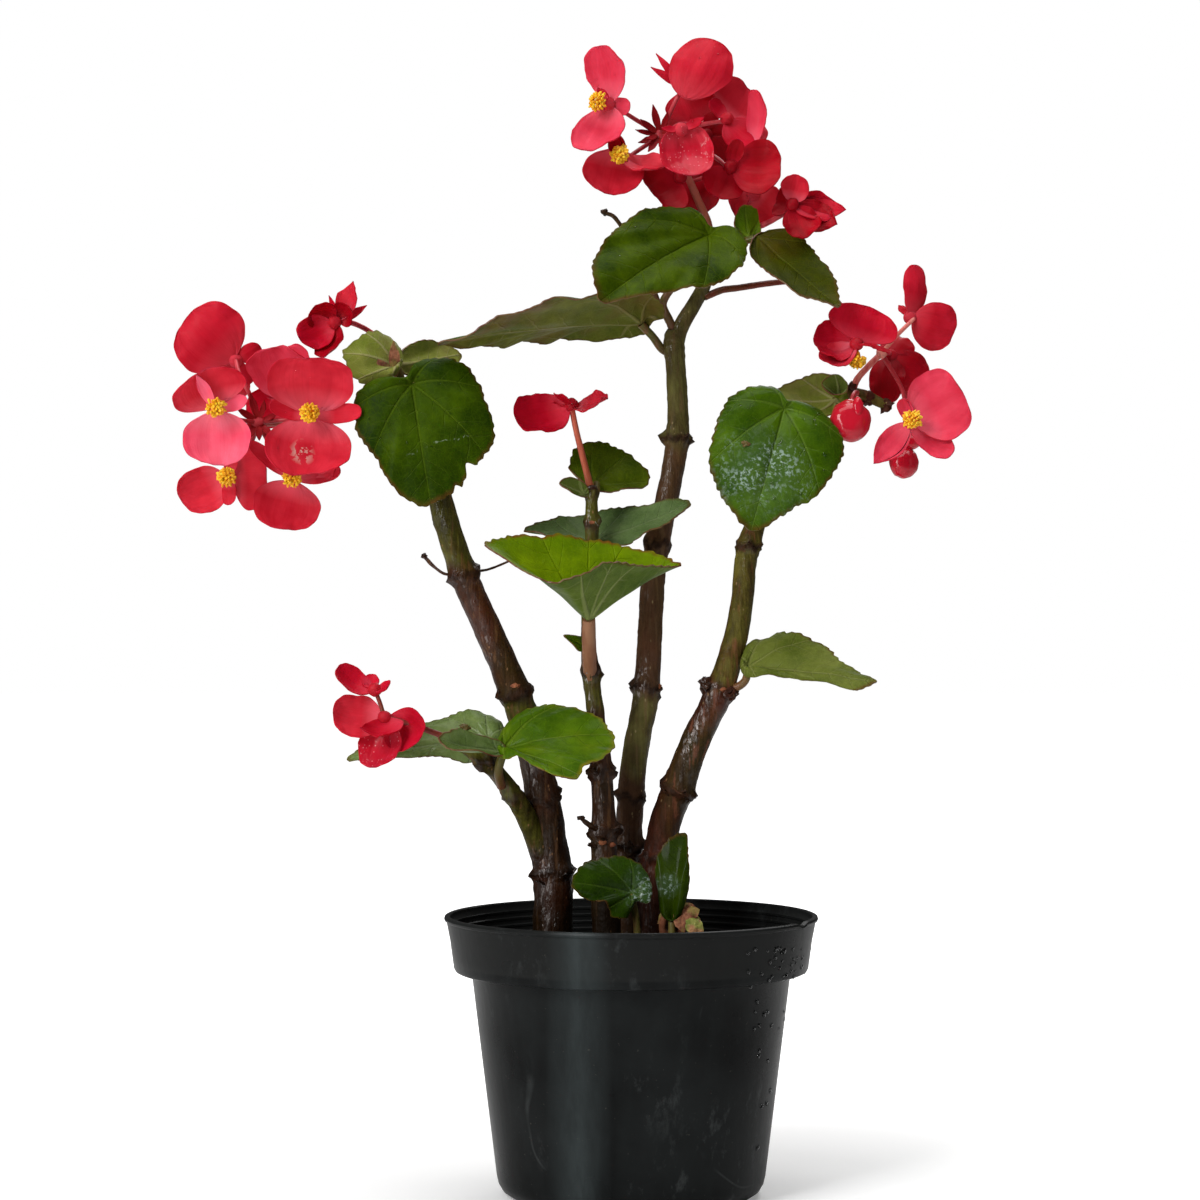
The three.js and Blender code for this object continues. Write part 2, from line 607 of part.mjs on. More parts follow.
place('leaves_branch_front', fuse([
  blade([-51, -26, 181], [
    [-7, -28, 187], [-9, -36, 179], [-18, -42, 176], [-24, -46, 170], [-34, -46, 174],
    [-44, -40, 178], [-50, -32, 178], [-54, -26, 181], [-52, -20, 186], [-45, -16, 195],
    [-31, -16, 198], [-17, -19, 195],
  ], { belly: -3, wave: 1.1, tooth: 0.03, spokes: 16 }),
  blade([-52, -28, 180], [
    [-76, -42, 188], [-69, -38, 192], [-60, -32, 188], [-51, -28, 183], [-50, -30, 179],
    [-60, -38, 180], [-71, -43, 182],
  ], { spokes: 12, rings: 2, belly: 1 }),
  stem([
    [-51, -27, 180, 1.7], [-53, -26, 173, 1.8], [-52, -20, 166, 1.9],
  ], { sides: 5 }),
]).subtract(nearLeft), LEAF);

place('leaf_branch_long', leaf([-57, -12, 184], [
  [-116, -4, 176], [-98, 0, 184], [-81, 1, 191], [-65, -2, 195], [-53, -6, 192],
  [-51, -10, 186], [-60, -15, 177], [-80, -13, 177], [-99, -9, 177],
], [[-57, -12, 184, 1.5], [-57, -14, 179, 1.6], [-57, -18, 175, 1.6]],
nearLeft, { belly: -2 }), LEAF);

place('leaf_base_round', leaf([0, -27, 124], [
  [-24, -36, 129], [-19, -32, 136], [-11, -27, 138], [-1, -25, 137], [6, -25, 132],
  [8, -27, 126], [6, -29, 120], [2, -28, 121], [-2, -32, 115], [-8, -34, 116],
  [-10, -35, 121], [-17, -36, 122],
], [[0, -27, 124, 1.4], [2, -25, 111, 1.5], [2, -25, 94, 1.6], [2, -25, 70.4, 1.6]],
null, { belly: -2, spokes: 18, wave: 1 }), LEAF);

place('leaf_base_edge', leaf([16, -24, 113], [
  [21, -20, 147], [13, -20, 143], [10, -21, 136], [10, -22, 127], [13, -23, 114],
  [18, -25, 113], [22, -26, 124], [23, -24, 136],
], [[16, -24, 113, 1.5], [16, -25, 104, 1.5], [16, -25, 92, 1.6], [16, -25, 70.4, 1.6]],
null, { belly: 2.5, spokes: 14 }), LEAF);

// The soil fills the pot and has one plain hole for each stem that stands in it.
const soilRandom = seeded(7);
const soilRadiusAt = (z) => {
  const share = (z - CORNER_HEIGHT) / (bandFoot - CORNER_HEIGHT);
  return wallIn(BODY_FOOT_RADIUS + (BODY_TOP_RADIUS - BODY_FOOT_RADIUS) * share) - 0.9;
};
const soilProfile = [
  [0, FLOOR + GAP],
  [BASE_RADIUS - 2, FLOOR + GAP],
  [soilRadiusAt(CORNER_HEIGHT), CORNER_HEIGHT + 1],
  [soilRadiusAt(SOIL_LEVEL), SOIL_LEVEL - 2],
  [soilRadiusAt(SOIL_LEVEL) - 4, SOIL_LEVEL],
  [32, SOIL_LEVEL],
  [0, SOIL_LEVEL],
].map(([r, z]) => new THREE.Vector2(r, z));
const soilBlock = new THREE.LatheGeometry(soilProfile, SOIL_SIDES);
soilBlock.rotateX(Math.PI / 2);
const merged = mergeVertices(
  new THREE.BufferGeometry()
    .setAttribute('position', soilBlock.toNonIndexed().getAttribute('position')),
  1e-3,
);
const soilPoints = merged.attributes.position;
for (let i = 0; i < soilPoints.count; i++) {
  const lift = (soilRandom() - 0.5) * 2 * SOIL_RELIEF;
  if (soilPoints.getZ(i) > SOIL_LEVEL - 1) soilPoints.setZ(i, SOIL_LEVEL + lift);
}
const soilHoles = [
  post(leftPath[0], 8 + 0.5, HOLE_FLOOR, POT_HEIGHT, 10),
  post(centrePath[0], 5.8 + 0.5, HOLE_FLOOR, POT_HEIGHT, 10),
  post(tallPath[0], 5.5 + 0.5, HOLE_FLOOR, POT_HEIGHT, 10),
  post(rightPath[0], 6.3 + 0.5, HOLE_FLOOR, POT_HEIGHT, 10),
  post(SHOOT_SPOT, 3 + 0.5, HOLE_FLOOR, POT_HEIGHT, 8),
  post([2, -25], 1.6 + 0.5, 70, POT_HEIGHT, 8),
  post([16, -25], 1.6 + 0.5, 70, POT_HEIGHT, 8),
];
place('soil', carve(solidOf(merged), soilHoles), POTTING_SOIL);

// The flowers. Each tepal is [x, y, z, width, dish]: the tip's offset from the flower's heart,
// with its width in millimetres.
const flowers = {
  bloom_left_front: {
    heart: [-127, -30, 314], face: [0, -1, 0.05], look: CORAL, tuft: true,
    tepals: [
      [1, -17, 22, 34], [-2, -11, -24, 34], [20, -6, 1, 8], [-16, -2, 4, 8],
    ],
  },
  bloom_left_outer: {
    heart: [-164, -35, 316], face: [0.05, -1, 0.05], look: CORAL, tuft: true,
    tepals: [[1, -6, -22, 27], [-2, -17, 15, 28], [-7, -2, 13, 5], [12, 0, 4, 6]],
  },
  bloom_left_low: {
    heart: [-135, -20, 289], face: [0, -1, 0.05], look: CORAL, tuft: true,
    tepals: [[-5, -6, -21, 28], [7, -7, 14, 28], [-17, -3, 14, 6], [19, -6, 3, 7]],
  },
  bloom_left_lowest: {
    heart: [-162, -8, 290], face: [-0.1, -1, 0], look: CORAL, tuft: true,
    tepals: [[-19, -5, -9, 19], [15, -3, 1, 27], [1, -3, 12, 6], [0, -3, -11, 6]],
  },
  bloom_left_back: {
    heart: [-161, 4, 338], face: [-0.2, 1, 0.1], look: DEEP_RED,
    tepals: [[-20, 3, 18, 31], [-11, 12, -10, 26], [10, 2, 6, 7], [6, 4, -9, 6]],
  },
  bloom_left_upper: {
    heart: [-137, -6, 321], face: [-0.4, -0.7, 0.5], look: CORAL,
    tepals: [[-8, -10, 21, 28], [-7, 8, 22, 25], [12, -2, 6, 6], [-10, 1, -2, 5]],
  },
  buds_left: {
    heart: [-119, -15, 352], face: [-0.6, -0.8, -0.2], rings: 1, look: DEEP_RED,
    tepals: [
      [-9, -3, 7, 15, 0.9], [-14, -4, -7, 14, 0.9], [-4, -6, -13, 14, 0.9],
      [7, -2, 17, 9, 0.6], [6, -4, 5, 11, 0.7], [12, 2, 6, 5], [-1, 1, 13, 4],
    ],
  },
  bloom_top_left: {
    heart: [-9, -12, 440], face: [-0.7, -0.7, 0.05], look: CORAL, tuft: true,
    tepals: [[-3, -5, 23, 27], [-9, -13, -20, 26], [-4, -3, 6, 5], [9, -2, -2, 7]],
  },
  bloom_top_low_left: {
    heart: [-4, -13, 418], face: [-0.1, -0.95, 0.1], look: CORAL, tuft: true,
    tepals: [[-3, -6, -16, 25], [17, -3, -3, 18, 0.4, [0, -0.5, 0.9]], [-3, -6, 8, 7]],
  },
  bloom_top_crown: {
    heart: [22, 8, 449], face: [0.3, 0.9, -0.2], look: CORAL,
    tepals: [[14, 3, 18, 28], [5, 8, -11, 22], [-12, 0, 14, 4.5], [-14, -2, 9, 5]],
  },
  bloom_top_wet: {
    heart: [20, -17, 429], face: [0, -1, 0.3], look: CORAL,
    tepals: [[4, -6, -19, 23, 0.8], [10, -4, 5, 8], [-9, -3, 2, 7]],
  },
  bloom_top_dark: {
    heart: [20, -3, 412], face: [0, -1, 0.2], rings: 1, look: DEEP_RED,
    tepals: [[-11, -5, -8, 23], [8, -5, -15, 24], [-2, -2, 8, 7]],
  },
  bloom_top_right: {
    heart: [39, 1, 436], face: [0.5, -0.8, 0.2], rings: 1, look: DEEP_RED,
    tepals: [[9, 6, 14, 25], [13, -5, -11, 20], [-7, -3, 7, 7]],
  },
  bloom_top_back: {
    heart: [31, 20, 432], face: [0, 1, 0.1], rings: 1, look: DEEP_RED,
    tepals: [[-9, 6, 15, 25], [5, 8, -18, 27], [12, 5, 4, 8], [-12, 4, -4, 7]],
  },
  bloom_top_low_right: {
    heart: [40, -11, 415], face: [0.2, -1, 0.2], rings: 1, look: DEEP_RED,
    tepals: [[20, -5, -1, 23], [-6, -3, -12, 18], [3, -3, 10, 7]],
  },
  bloom_top_under: {
    heart: [50, 8, 406], face: [0.3, -0.6, -0.7], rings: 1, look: CORAL,
    tepals: [[9, -2, -9, 19], [-9, -1, -6, 17], [2, 8, -5, 7]],
  },
  buds_top: {
    heart: [65, -8, 400], face: [0.9, -0.4, -0.2], look: DEEP_RED,
    tepals: [
      [21, -2, 1, 7, 0.5], [18, 2, 6, 7, 0.5], [15, -4, -9, 15, 0.8], [7, -7, -13, 15, 0.8],
      [3, -5, 11, 14, 0.8], [-6, 3, 2, 11, 0.8],
    ],
  },
  bloom_right_top: {
    heart: [91, -6, 344], face: [0, -0.05, -1], look: DEEP_RED, tuft: true,
    tepals: [
      [5, -2, 14, 31, 0.6, [0, -1, 0]], [-15, -5, -2, 20, 0.7, [-0.2, -1, 0.5]],
      [12, -8, -3, 9],
    ],
  },
  bloom_right_outer: {
    heart: [114, 8, 356], face: [-0.5, 0.8, 0.3], look: CORAL,
    tepals: [[2, 2, 22, 12], [18, 3, -6, 20], [-4, 4, 5, 4]],
  },
  bloom_right_dark: {
    heart: [107, 17, 341], face: [0.2, 0.9, -0.3], look: DEEP_RED,
    tepals: [[-3, -2, -19, 15], [14, 2, -11, 16], [5, 5, 8, 15]],
  },
  bloom_right_front: {
    heart: [112, -16, 312], face: [0, -1, 0.1], look: CORAL, tuft: true,
    tepals: [[20, -8, 12, 29], [16, -5, -13, 11], [-13, -6, -16, 16], [-4, -2, 9, 6]],
  },
  bud_right_round: {
    heart: [88, -15, 320], face: [0, -1, 0], look: DEEP_RED, tepals: [],
    buds: [[[88, -16, 313], 8.4, [1, 0.85, 1.08]]],
  },
  buds_right_hanging: {
    heart: [112, 2, 307], face: [0, -1, 0], look: CORAL, tepals: [],
    buds: [[[113, 2, 305], 4.4, [1.1, 0.9, 0.8]], [[111, 2, 296.5], 6.2, [0.95, 0.9, 1.05]]],
  },
  bloom_centre: {
    heart: [-24, -14, 319], face: [0.1, -0.5, 0.85], rings: 1, look: DEEP_RED,
    tepals: [[-23, -5, -3, 20], [13, -6, 4, 15], [-6, 8, 2, 8], [-5, -11, 3, 8]],
  },
  bloom_low: {
    heart: [-98, -31, 194], face: [-0.3, -0.8, 0.3], rings: 1, look: DEEP_RED,
    tepals: [
      [-20, -4, 2, 19, 0.8], [-4, -8, -19, 18, 0.6], [14, -6, -8, 18, 0.7],
      [6, -9, 3, 13, 0.8],
    ],
  },
  bloom_low_upper: {
    heart: [-102, -29, 205], face: [-0.2, -0.6, 0.8], rings: 1, look: DEEP_RED,
    tepals: [[-15, -3, 9, 13, 0.6], [6, -4, 1, 8, 0.5], [-3, 5, 5, 7, 0.5]],
  },
};

const headOf = {};
for (const [name, one] of Object.entries(flowers)) {
  let solid = flower(one);
  for (const [at, radius, squash] of one.buds ?? []) {
    solid = solid.add(ball(at, radius, squash, 1));
  }
  headOf[name] = solid;
}

const to = (name, ...way) => pedicel(way, flowers[name].heart, flowers[name].face);
const thin = (...way) => stem(way.map(([x, y, z, r]) => [x, y, z, r ?? PEDICEL]), { sides: 5 });

// These heads are fused with their own stalks.
headOf.buds_left = fuse([
  headOf.buds_left,
  thin([-91, -12, 326, 1.3], [-95, -6, 336, 1.2], [-103, -5, 347, 1.1], [-112, -10, 352, 1.1],
    [-118, -15, 352, 1.1]),
]).subtract(nearLeft);
headOf.bloom_centre = fuse([
  headOf.bloom_centre,
  thin([-16, -14, 284, 1.5], [-19, -14, 296, 1.3], [-22, -14, 308, 1.2], [-24, -14, 318, 1.2]),
]).subtract(nearCentre);
headOf.bloom_low = fuse([
  headOf.bloom_low, headOf.bloom_low_upper,
  thin([-65, -22, 182, 1.5], [-74, -26, 186, 1.3], [-84, -29, 190, 1.2], [-97, -31, 194, 1.2]),
  thin([-98, -31, 194], [-100, -29, 200], [-102, -29, 205]),
]).subtract(nearLeft);
headOf.bud_right_round = fuse([
  headOf.bud_right_round,
  thin([88, -15, 320], [90, -8, 324], [92, 2, 325], [92, 8, 324]),
]).subtract(nearRight);
headOf.buds_top = fuse([
  headOf.buds_top,
  thin([35.3, 5.8, 385.5, 1.2], [38, 7.5, 389, 1.2], [44, 8, 391, 1.2], [53, 5, 393, 1.2],
    [60, -2, 396, 1.1], [65, -8, 399, 1.1]),
]).subtract(nearTall);
delete headOf.bloom_low_upper;

for (const [name, solid] of Object.entries(headOf)) {
  const { look, tuft, heart, face } = flowers[name];
  place(name, solid, look);
  if (tuft) place(name.replace('bloom', 'stamens'), stamens(heart, face), YELLOW);
}

const leftHub = [-150, -10, 312];
place('stalk_left', fuse([
  stem([
    [-92, -14, 322, 1.7], [-101, -12, 320, 1.6], [-113, -8, 318, 1.5], [-130, -4, 314, 1.4],
    [-144, -7, 312, 1.4], [-150, -10, 312, 1.4],
  ], { sides: 5 }),
  ball(leftHub, 2.3, [1.2, 1, 1], 0),
  to('bloom_left_front', leftHub, [-138, -14, 313], [-128, -23, 314]),
  to('bloom_left_outer', leftHub, [-158, -18, 313], [-164, -27, 316]),
  to('bloom_left_low', leftHub, [-145, -8, 302], [-137, -13, 294]),
  to('bloom_left_lowest', leftHub, [-154, -3, 304], [-161, -3, 294]),
  to('bloom_left_back', leftHub, [-154, -9, 324], [-158, -6, 331]),
  to('bloom_left_upper', [-141, -6, 312.5], [-136, -1.5, 315.5]),
]).subtract(nearLeft), RED_STALK);

const topHub = [12, 0, 429];
place('stalk_top', fuse([
  stem([
    [33, 3, 383, 1.9], [31, 3, 394, 1.8], [27, 4, 404, 1.6], [22, 5, 415, 1.5],
    [16, 3, 424, 1.4], [12, 0, 429, 1.4],
  ], { sides: 5 }),
  ball(topHub, 2.6, [1, 1, 1], 0),
  tepal([11.5, -0.6, 429.4], [-8, -6, 5, 4, 0.3], [0, -1, 0.3]),
  tepal([12, -0.8, 430], [-3, -5, 10, 4, 0.3], [0, -1, 0.3]),
  to('bloom_top_left', topHub, [0, -5, 436]),
  to('bloom_top_low_left', topHub, [5, -3, 424], [-2, -6, 419]),
  to('bloom_top_crown', [12, 1, 430], [18, 1, 443]),
  to('bloom_top_wet', topHub, [17, -7, 428]),
  to('bloom_top_dark', topHub, [14, 3, 420], [18, 4, 414]),
  to('bloom_top_right', topHub, [26, 7, 434]),
  to('bloom_top_back', topHub, [18, 8, 430], [26, 14, 431]),
  to('bloom_top_low_right', topHub, [22, -1, 425], [33, -6, 420]),
  to('bloom_top_under', [24, 5, 411], [36, 9, 414], [46, 11, 412]),
]).subtract(nearTall), RED_STALK);

place('stalk_arching', stem([
  [30, 6, 364, 1.4], [37, 7, 367, 1.4], [44, 8, 368, 1.3], [56, 10, 370, 1.2],
  [68, 12, 371, 1.2], [77, 11, 369, 1.2], [84, 9, 363, 1.1], [89, 6, 356, 1.1],
  [91, 1, 350, 1], [91, -4, 347.6, 1],
], { sides: 5 }).subtract(nearTall), RED_STALK);

const rightHub = [102, 5, 341];
place('stalk_right', fuse([
  stem([
    [90, 9, 323, 1.5], [92, 8, 330, 1.4], [96, 6, 335, 1.3], [102, 5, 341, 1.3],
  ], { sides: 5 }),
  ball(rightHub, 2, [1, 1, 1], 0),
  to('bloom_right_outer', rightHub, [108, 5, 348], [113, 4, 353]),
  to('bloom_right_dark', rightHub, [103, 9, 341]),
  to('bloom_right_front', rightHub, [109, 0, 330], [112, -8, 317]),
  to('buds_right_hanging', rightHub, [111, 6, 325], [112, 8, 312]),
]).subtract(nearRight), RED_STALK);

export default plant;
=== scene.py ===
# %% [markdown]
# # A begonia in its nursery pot
# The packed model holds the pot, the soil and each cane, leaf and bloom as a plain solid.
# Here every one of them is made again with the detail that a camera sees: veins and teeth on
# the leaves, waved petals, tufts of anthers, scarred bark and scuffed plastic.
# All places are in millimetres and are the same numbers as the solids have, so each new piece
# lies where its solid lies. They are turned into metres only when a mesh is given its points.

# %% Load the solids
import math

import bpy
import mathutils
import numpy as np
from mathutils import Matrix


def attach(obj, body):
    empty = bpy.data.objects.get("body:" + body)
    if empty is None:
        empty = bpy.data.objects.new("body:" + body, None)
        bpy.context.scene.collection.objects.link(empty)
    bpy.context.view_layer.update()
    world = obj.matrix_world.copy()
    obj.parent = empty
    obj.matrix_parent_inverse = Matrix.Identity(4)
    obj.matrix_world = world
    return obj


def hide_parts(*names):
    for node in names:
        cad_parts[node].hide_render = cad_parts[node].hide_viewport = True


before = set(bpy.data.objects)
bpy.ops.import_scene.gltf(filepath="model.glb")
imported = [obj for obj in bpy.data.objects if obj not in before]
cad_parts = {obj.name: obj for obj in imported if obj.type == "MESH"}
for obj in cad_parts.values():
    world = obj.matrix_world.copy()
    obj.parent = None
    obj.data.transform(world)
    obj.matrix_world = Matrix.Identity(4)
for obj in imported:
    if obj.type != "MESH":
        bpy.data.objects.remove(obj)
bpy.ops.object.select_all(action="DESELECT")
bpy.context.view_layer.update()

# %% [markdown]
# ## The camera
# The photograph was taken level, from a little over a metre away, a hand's breadth above the
# middle of the plant's height. A long lens could be set by its millimetres or by its angle.
# The angle is used, because it says directly how much of the plant fills the frame.

# %% Camera
EYE = np.array([-12.6, -1320.0, 240.6])
bpy.ops.object.camera_add(location=EYE / 1000, rotation=(math.radians(90), 0, 0))
camera = bpy.context.object
camera.name = "camera"
camera.data.angle = math.radians(20.9)
bpy.context.scene.camera = camera
print("lens:", round(camera.data.lens, 1), "mm")

# %% [markdown]
# ## Floor and light
# The plant stands in soft daylight: one broad bright side from the upper left, a weaker sky
# from above, and little from the right. Area lights do this better than lamps or a sun,
# because a large face gives soft shade and a broad sheen on wet leaves. The backdrop is
# white to the eye alone, so that its light doesn't wash out the dark pot.

# %% Floor, sky and softboxes
bpy.ops.mesh.primitive_plane_add(size=14, location=(0, 0, -0.0005))
floor = bpy.context.object
floor.name = "floor"

SOFTBOXES = {
    "window_left": ((-1.0, -1.35, 1.25), (0.8, 0.8), 22),
    "low_window": ((-0.80, -1.25, 0.30), (0.2, 0.9), 5),
    "sky": ((0.1, 0.0, 1.55), (1.3, 1.3), 15),
    "fill_right": ((1.5, -1.0, 0.6), (1.0, 1.0), 0.8),
    "back_light": ((0.4, 1.4, 1.3), (1.0, 0.7), 5),
}
PLANT_MIDDLE = np.array([0, 0, 0.25])
for name, (place, size, power) in SOFTBOXES.items():
    aim = PLANT_MIDDLE - np.array(place)
    tilt = math.pi / 2 + math.atan2(aim[2], math.hypot(aim[0], aim[1]))
    turn = math.atan2(aim[1], aim[0]) - math.pi / 2
    bpy.ops.object.light_add(type="AREA", location=place, rotation=(tilt, 0, turn))
    lamp = bpy.context.object
    lamp.name = name
    lamp.data.shape = "RECTANGLE"
    lamp.data.size, lamp.data.size_y = size
    lamp.data.energy = power

world = bpy.data.worlds.new("studio")
world.use_nodes = True
bpy.context.scene.world = world
nodes, links = world.node_tree.nodes, world.node_tree.links
sky = nodes["Background"]
sky.inputs["Color"].default_value = (1.0, 0.99, 0.97, 1)
sky.inputs["Strength"].default_value = 0.08
backdrop = nodes.new("ShaderNodeBackground")
backdrop.inputs["Color"].default_value = (1, 1, 1, 1)
choice = nodes.new("ShaderNodeMixShader")
links.new(nodes.new("ShaderNodeLightPath").outputs["Is Camera Ray"], choice.inputs["Fac"])
links.new(sky.outputs[0], choice.inputs[1])
links.new(backdrop.outputs[0], choice.inputs[2])
links.new(choice.outputs[0], nodes["World Output"].inputs[0])
bpy.context.scene.view_settings.view_transform = "Standard"
print("softboxes:", len(SOFTBOXES))

# %% [markdown]
# ## Materials from nodes
# Each finish is a Principled shader fed by noise. A node that varies the colour or the height
# is linked, and a value that is the same all over is set on the shader's own socket. Wiring
# every node by hand would hide the thought behind the wires, so one small class does it: a
# finish starts with a base colour, other colours are laid over it, and then it is settled.
# While a finish is in the making, it is called f.

# %% How a finish is made


class Finish:
    """A material in the making, with the nodes that feed its Principled shader."""

    def __init__(self, name):
        self.material = bpy.data.materials.new(name)
        self.material.use_nodes = True
        self.tree = self.material.node_tree
        self.shader = self.tree.nodes["Principled BSDF"]
        self.where = self.node("TexCoord").outputs["Object"]
        self.base = None

    def feed(self, socket, value):
        """Links a node's output to a socket, or sets a plain value on it."""
        if isinstance(value, bpy.types.NodeSocket):
            self.tree.links.new(value, socket)
        else:
            socket.default_value = value

    def node(self, kind, inputs=None, **settings):
        """A new node, set up and fed."""
        made = self.tree.nodes.new("ShaderNode" + kind)
        for key, value in settings.items():
            setattr(made, key, value)
        for key, value in (inputs or {}).items():
            self.feed(made.inputs[key], value)
        return made

    def math(self, operation, *numbers):
        return self.node("Math", dict(enumerate(numbers)), operation=operation).outputs[0]

    def vector(self, operation, *vectors):
        """A measure of two places: a distance, a length or a product."""
        made = self.node("VectorMath", dict(enumerate(vectors)), operation=operation)
        return made.outputs["Vector" if operation == "SUBTRACT" else "Value"]

    def times(self, first, *others):
        for other in others:
            first = self.math("MULTIPLY", first, other)
        return first

    def axis(self, name):
        return self.node("SeparateXYZ", {"Vector": self.where}).outputs[name]

    def value(self, name):
        """A number that the mesh carries at each of its points."""
        return self.node("Attribute", attribute_name=name).outputs["Fac"]

    def ramp(self, factor, low, high, out_low=0.0, out_high=1.0):
        """Stretches the part of a value between low and high."""
        return self.node("MapRange", {
            "Value": factor, "From Min": low, "From Max": high, "To Min": out_low, "To Max": out_high,
        }).outputs["Result"]

    def noise(self, scale, detail=3.0, rough=0.55, stretch=None, where=None):
        """Cloudy noise, drawn out along an axis if asked."""
        where = where or self.where
        if stretch:
            where = self.node("Mapping", {"Vector": where, "Scale": stretch}).outputs[0]
        return self.node("TexNoise", {
            "Vector": where, "Scale": scale, "Detail": detail, "Roughness": rough,
        }).outputs["Fac"]

    def patches(self, scale, low, high, detail=3.0, rough=0.55, stretch=None, where=None, out=(0.0, 1.0)):
        """Noise sharpened into patches: nothing below low, all above high."""
        return self.ramp(self.noise(scale, detail, rough, stretch, where), low, high, *out)

    def cells(self, scale, stretch=None):
        """How far each place is from the nearest of many scattered dots."""
        where = self.node("Mapping", {"Vector": self.where, "Scale": stretch}).outputs[0] if stretch else self.where
        return self.node("TexVoronoi", {"Vector": where, "Scale": scale}).outputs["Distance"]

    def mix(self, factor, first, second):
        """A colour between two, by a factor."""
        made = self.node("Mix", data_type="RGBA")
        self.feed(made.inputs[0], factor)
        for index, value in ((6, first), (7, second)):
            self.feed(made.inputs[index], (*value, 1) if isinstance(value, tuple) else value)
        return made.outputs[2]

    def over(self, factor, colour, share=None):
        """Lays a colour over the base, where a factor says, by a share of its strength."""
        factor = factor if share is None else self.times(factor, share)
        self.base = self.mix(factor, self.base, colour)

    def settle(self, roughness, *bumps, **values):
        """Feeds the shader. Bumps are (height, strength, depth in metres), one on top of another."""
        self.feed(self.shader.inputs["Base Color"], self.base)
        self.feed(self.shader.inputs["Roughness"], roughness)
        for key, value in values.items():
            self.feed(self.shader.inputs[key.replace("_", " ")], value)
        under = {}
        for height, strength, depth in bumps:
            made = self.node("Bump", {"Height": height, "Strength": strength, "Distance": depth, **under})
            under = {"Normal": made.outputs["Normal"]}
        if under:
            self.feed(self.shader.inputs["Normal"], under["Normal"])
        return self.material


print("a finish has", sum(not name.startswith("_") for name in vars(Finish)), "tools")

# %% Colours and the floor's finish


def paint(red, green, blue):
    """A colour from a colour chart's numbers, 0 to 255, as light."""
    parts = np.array([red, green, blue]) / 255
    light = np.where(parts > 0.04045, ((parts + 0.055) / 1.055) ** 2.4, parts / 12.92)
    return tuple(float(part) for part in light)


def dress(piece, *looks):
    for look in looks:
        piece.data.materials.append(look)
    return piece


pale = Finish("pale_floor")
pale.base = pale.mix(pale.patches(3.0, 0.3, 0.7), (0.93, 0.93, 0.93), (0.96, 0.96, 0.955))
far_off = pale.ramp(pale.vector("LENGTH", pale.where), 0.12, 0.5, 0.25, 1.0)
glow = pale.times(far_off, pale.node("LightPath").outputs["Is Camera Ray"])
dress(floor, pale.settle(
    0.9, Specular_IOR_Level=0.1, Emission_Color=(1, 1, 1, 1), Emission_Strength=glow))
print("floor is pale, and white far off")

# %% [markdown]
# ## Sheets, curves and the lean
# Leaves, petals and round stems are all sheets: a flat grid whose corners are moved to their
# places. A leaf's grid is wound round its stalk like a fan, a petal's is drawn out into an
# oval, and a stem's is rolled up. Sculpting each by hand would give as good a shape, but the
# places would not be known, and here they must fall on the solids.
# The canes lean apart in depth, as in the solids: each point slides along its line of sight.

# %% Directions and the lean
LEAN_START = 113
LEAN_SOFTNESS = 60
LEAN_BACK = 0.1
LEAN_TURN = 0.0013


def unit(way):
    """A direction, one long."""
    return np.array(way, float) / np.linalg.norm(way)


def lean(points):
    """Slides points along their lines of sight, so that the plant fills its depth."""
    rise = np.maximum(0, points[:, 2] - LEAN_START)
    shift = rise**2 / (rise + LEAN_SOFTNESS) * (LEAN_BACK + LEAN_TURN * points[:, 0])
    nearer = (points[:, 1] + shift - EYE[1]) / (points[:, 1] - EYE[1])
    return np.column_stack([
        EYE[0] + (points[:, 0] - EYE[0]) * nearer,
        points[:, 1] + shift,
        EYE[2] + (points[:, 2] - EYE[2]) * nearer,
    ])


def at(place):
    """A place in millimetres as the finished plant has it, in metres."""
    return tuple(float(c) for c in lean(np.array([place], float))[0] / 1000)


print("a leaf 350 mm up moves", round(lean(np.array([[0, 0, 350.0]]))[0, 1], 1), "mm back")

# %% Softly uneven numbers


def rough(points, size, seed):
    """Soft random numbers in space, about -1 to 1, with lumps of a size in millimetres."""
    draw = np.random.default_rng(seed)
    total = np.zeros(len(points))
    for _ in range(9):
        way = draw.normal(size=3)
        way *= 2 * math.pi / (size * np.linalg.norm(way)) * draw.uniform(0.6, 1.5)
        total += np.sin(points @ way + draw.uniform(0, 6.28))
    return total / 3.2


some = rough(np.array([[0, 0, 0], [30, 0, 0], [0, 0, 30.0]]), 20, 1)
print("three numbers from space:", some.round(2))

# %% Adding a shape and moving its corners
WELD = 2e-6


def add(name, tool, **settings):
    """A new shape from one of the modeller's own tools, with nothing else selected."""
    bpy.ops.object.select_all(action="DESELECT")
    tool(**settings)
    piece = bpy.context.object
    piece.name = name
    return piece


def corners(piece):
    flat = np.empty(len(piece.data.vertices) * 3)
    piece.data.vertices.foreach_get("co", flat)
    return flat.reshape(-1, 3)


def put_corners(piece, points, **values):
    """Moves a piece's corners, in metres, and writes numbers on them for its finish to read."""
    piece.data.vertices.foreach_set("co", points.astype(np.float32).ravel())
    for name, value in values.items():
        kept = piece.data.attributes.new(name, "FLOAT", "POINT")
        kept.data.foreach_set("value", np.broadcast_to(value, len(points)).astype(np.float32))
    piece.data.update()
    return piece


def on_all(piece, tool, **settings):
    """Uses a tool of the edit mode on all of a piece."""
    bpy.context.view_layer.objects.active = piece
    bpy.ops.object.mode_set(mode="EDIT")
    bpy.ops.mesh.select_all(action="SELECT")
    tool(**settings)
    bpy.ops.object.mode_set(mode="OBJECT")
    return piece


def face_out(piece):
    """Turns all faces of a closed piece outwards."""
    return on_all(piece, bpy.ops.mesh.normals_make_consistent, inside=False)


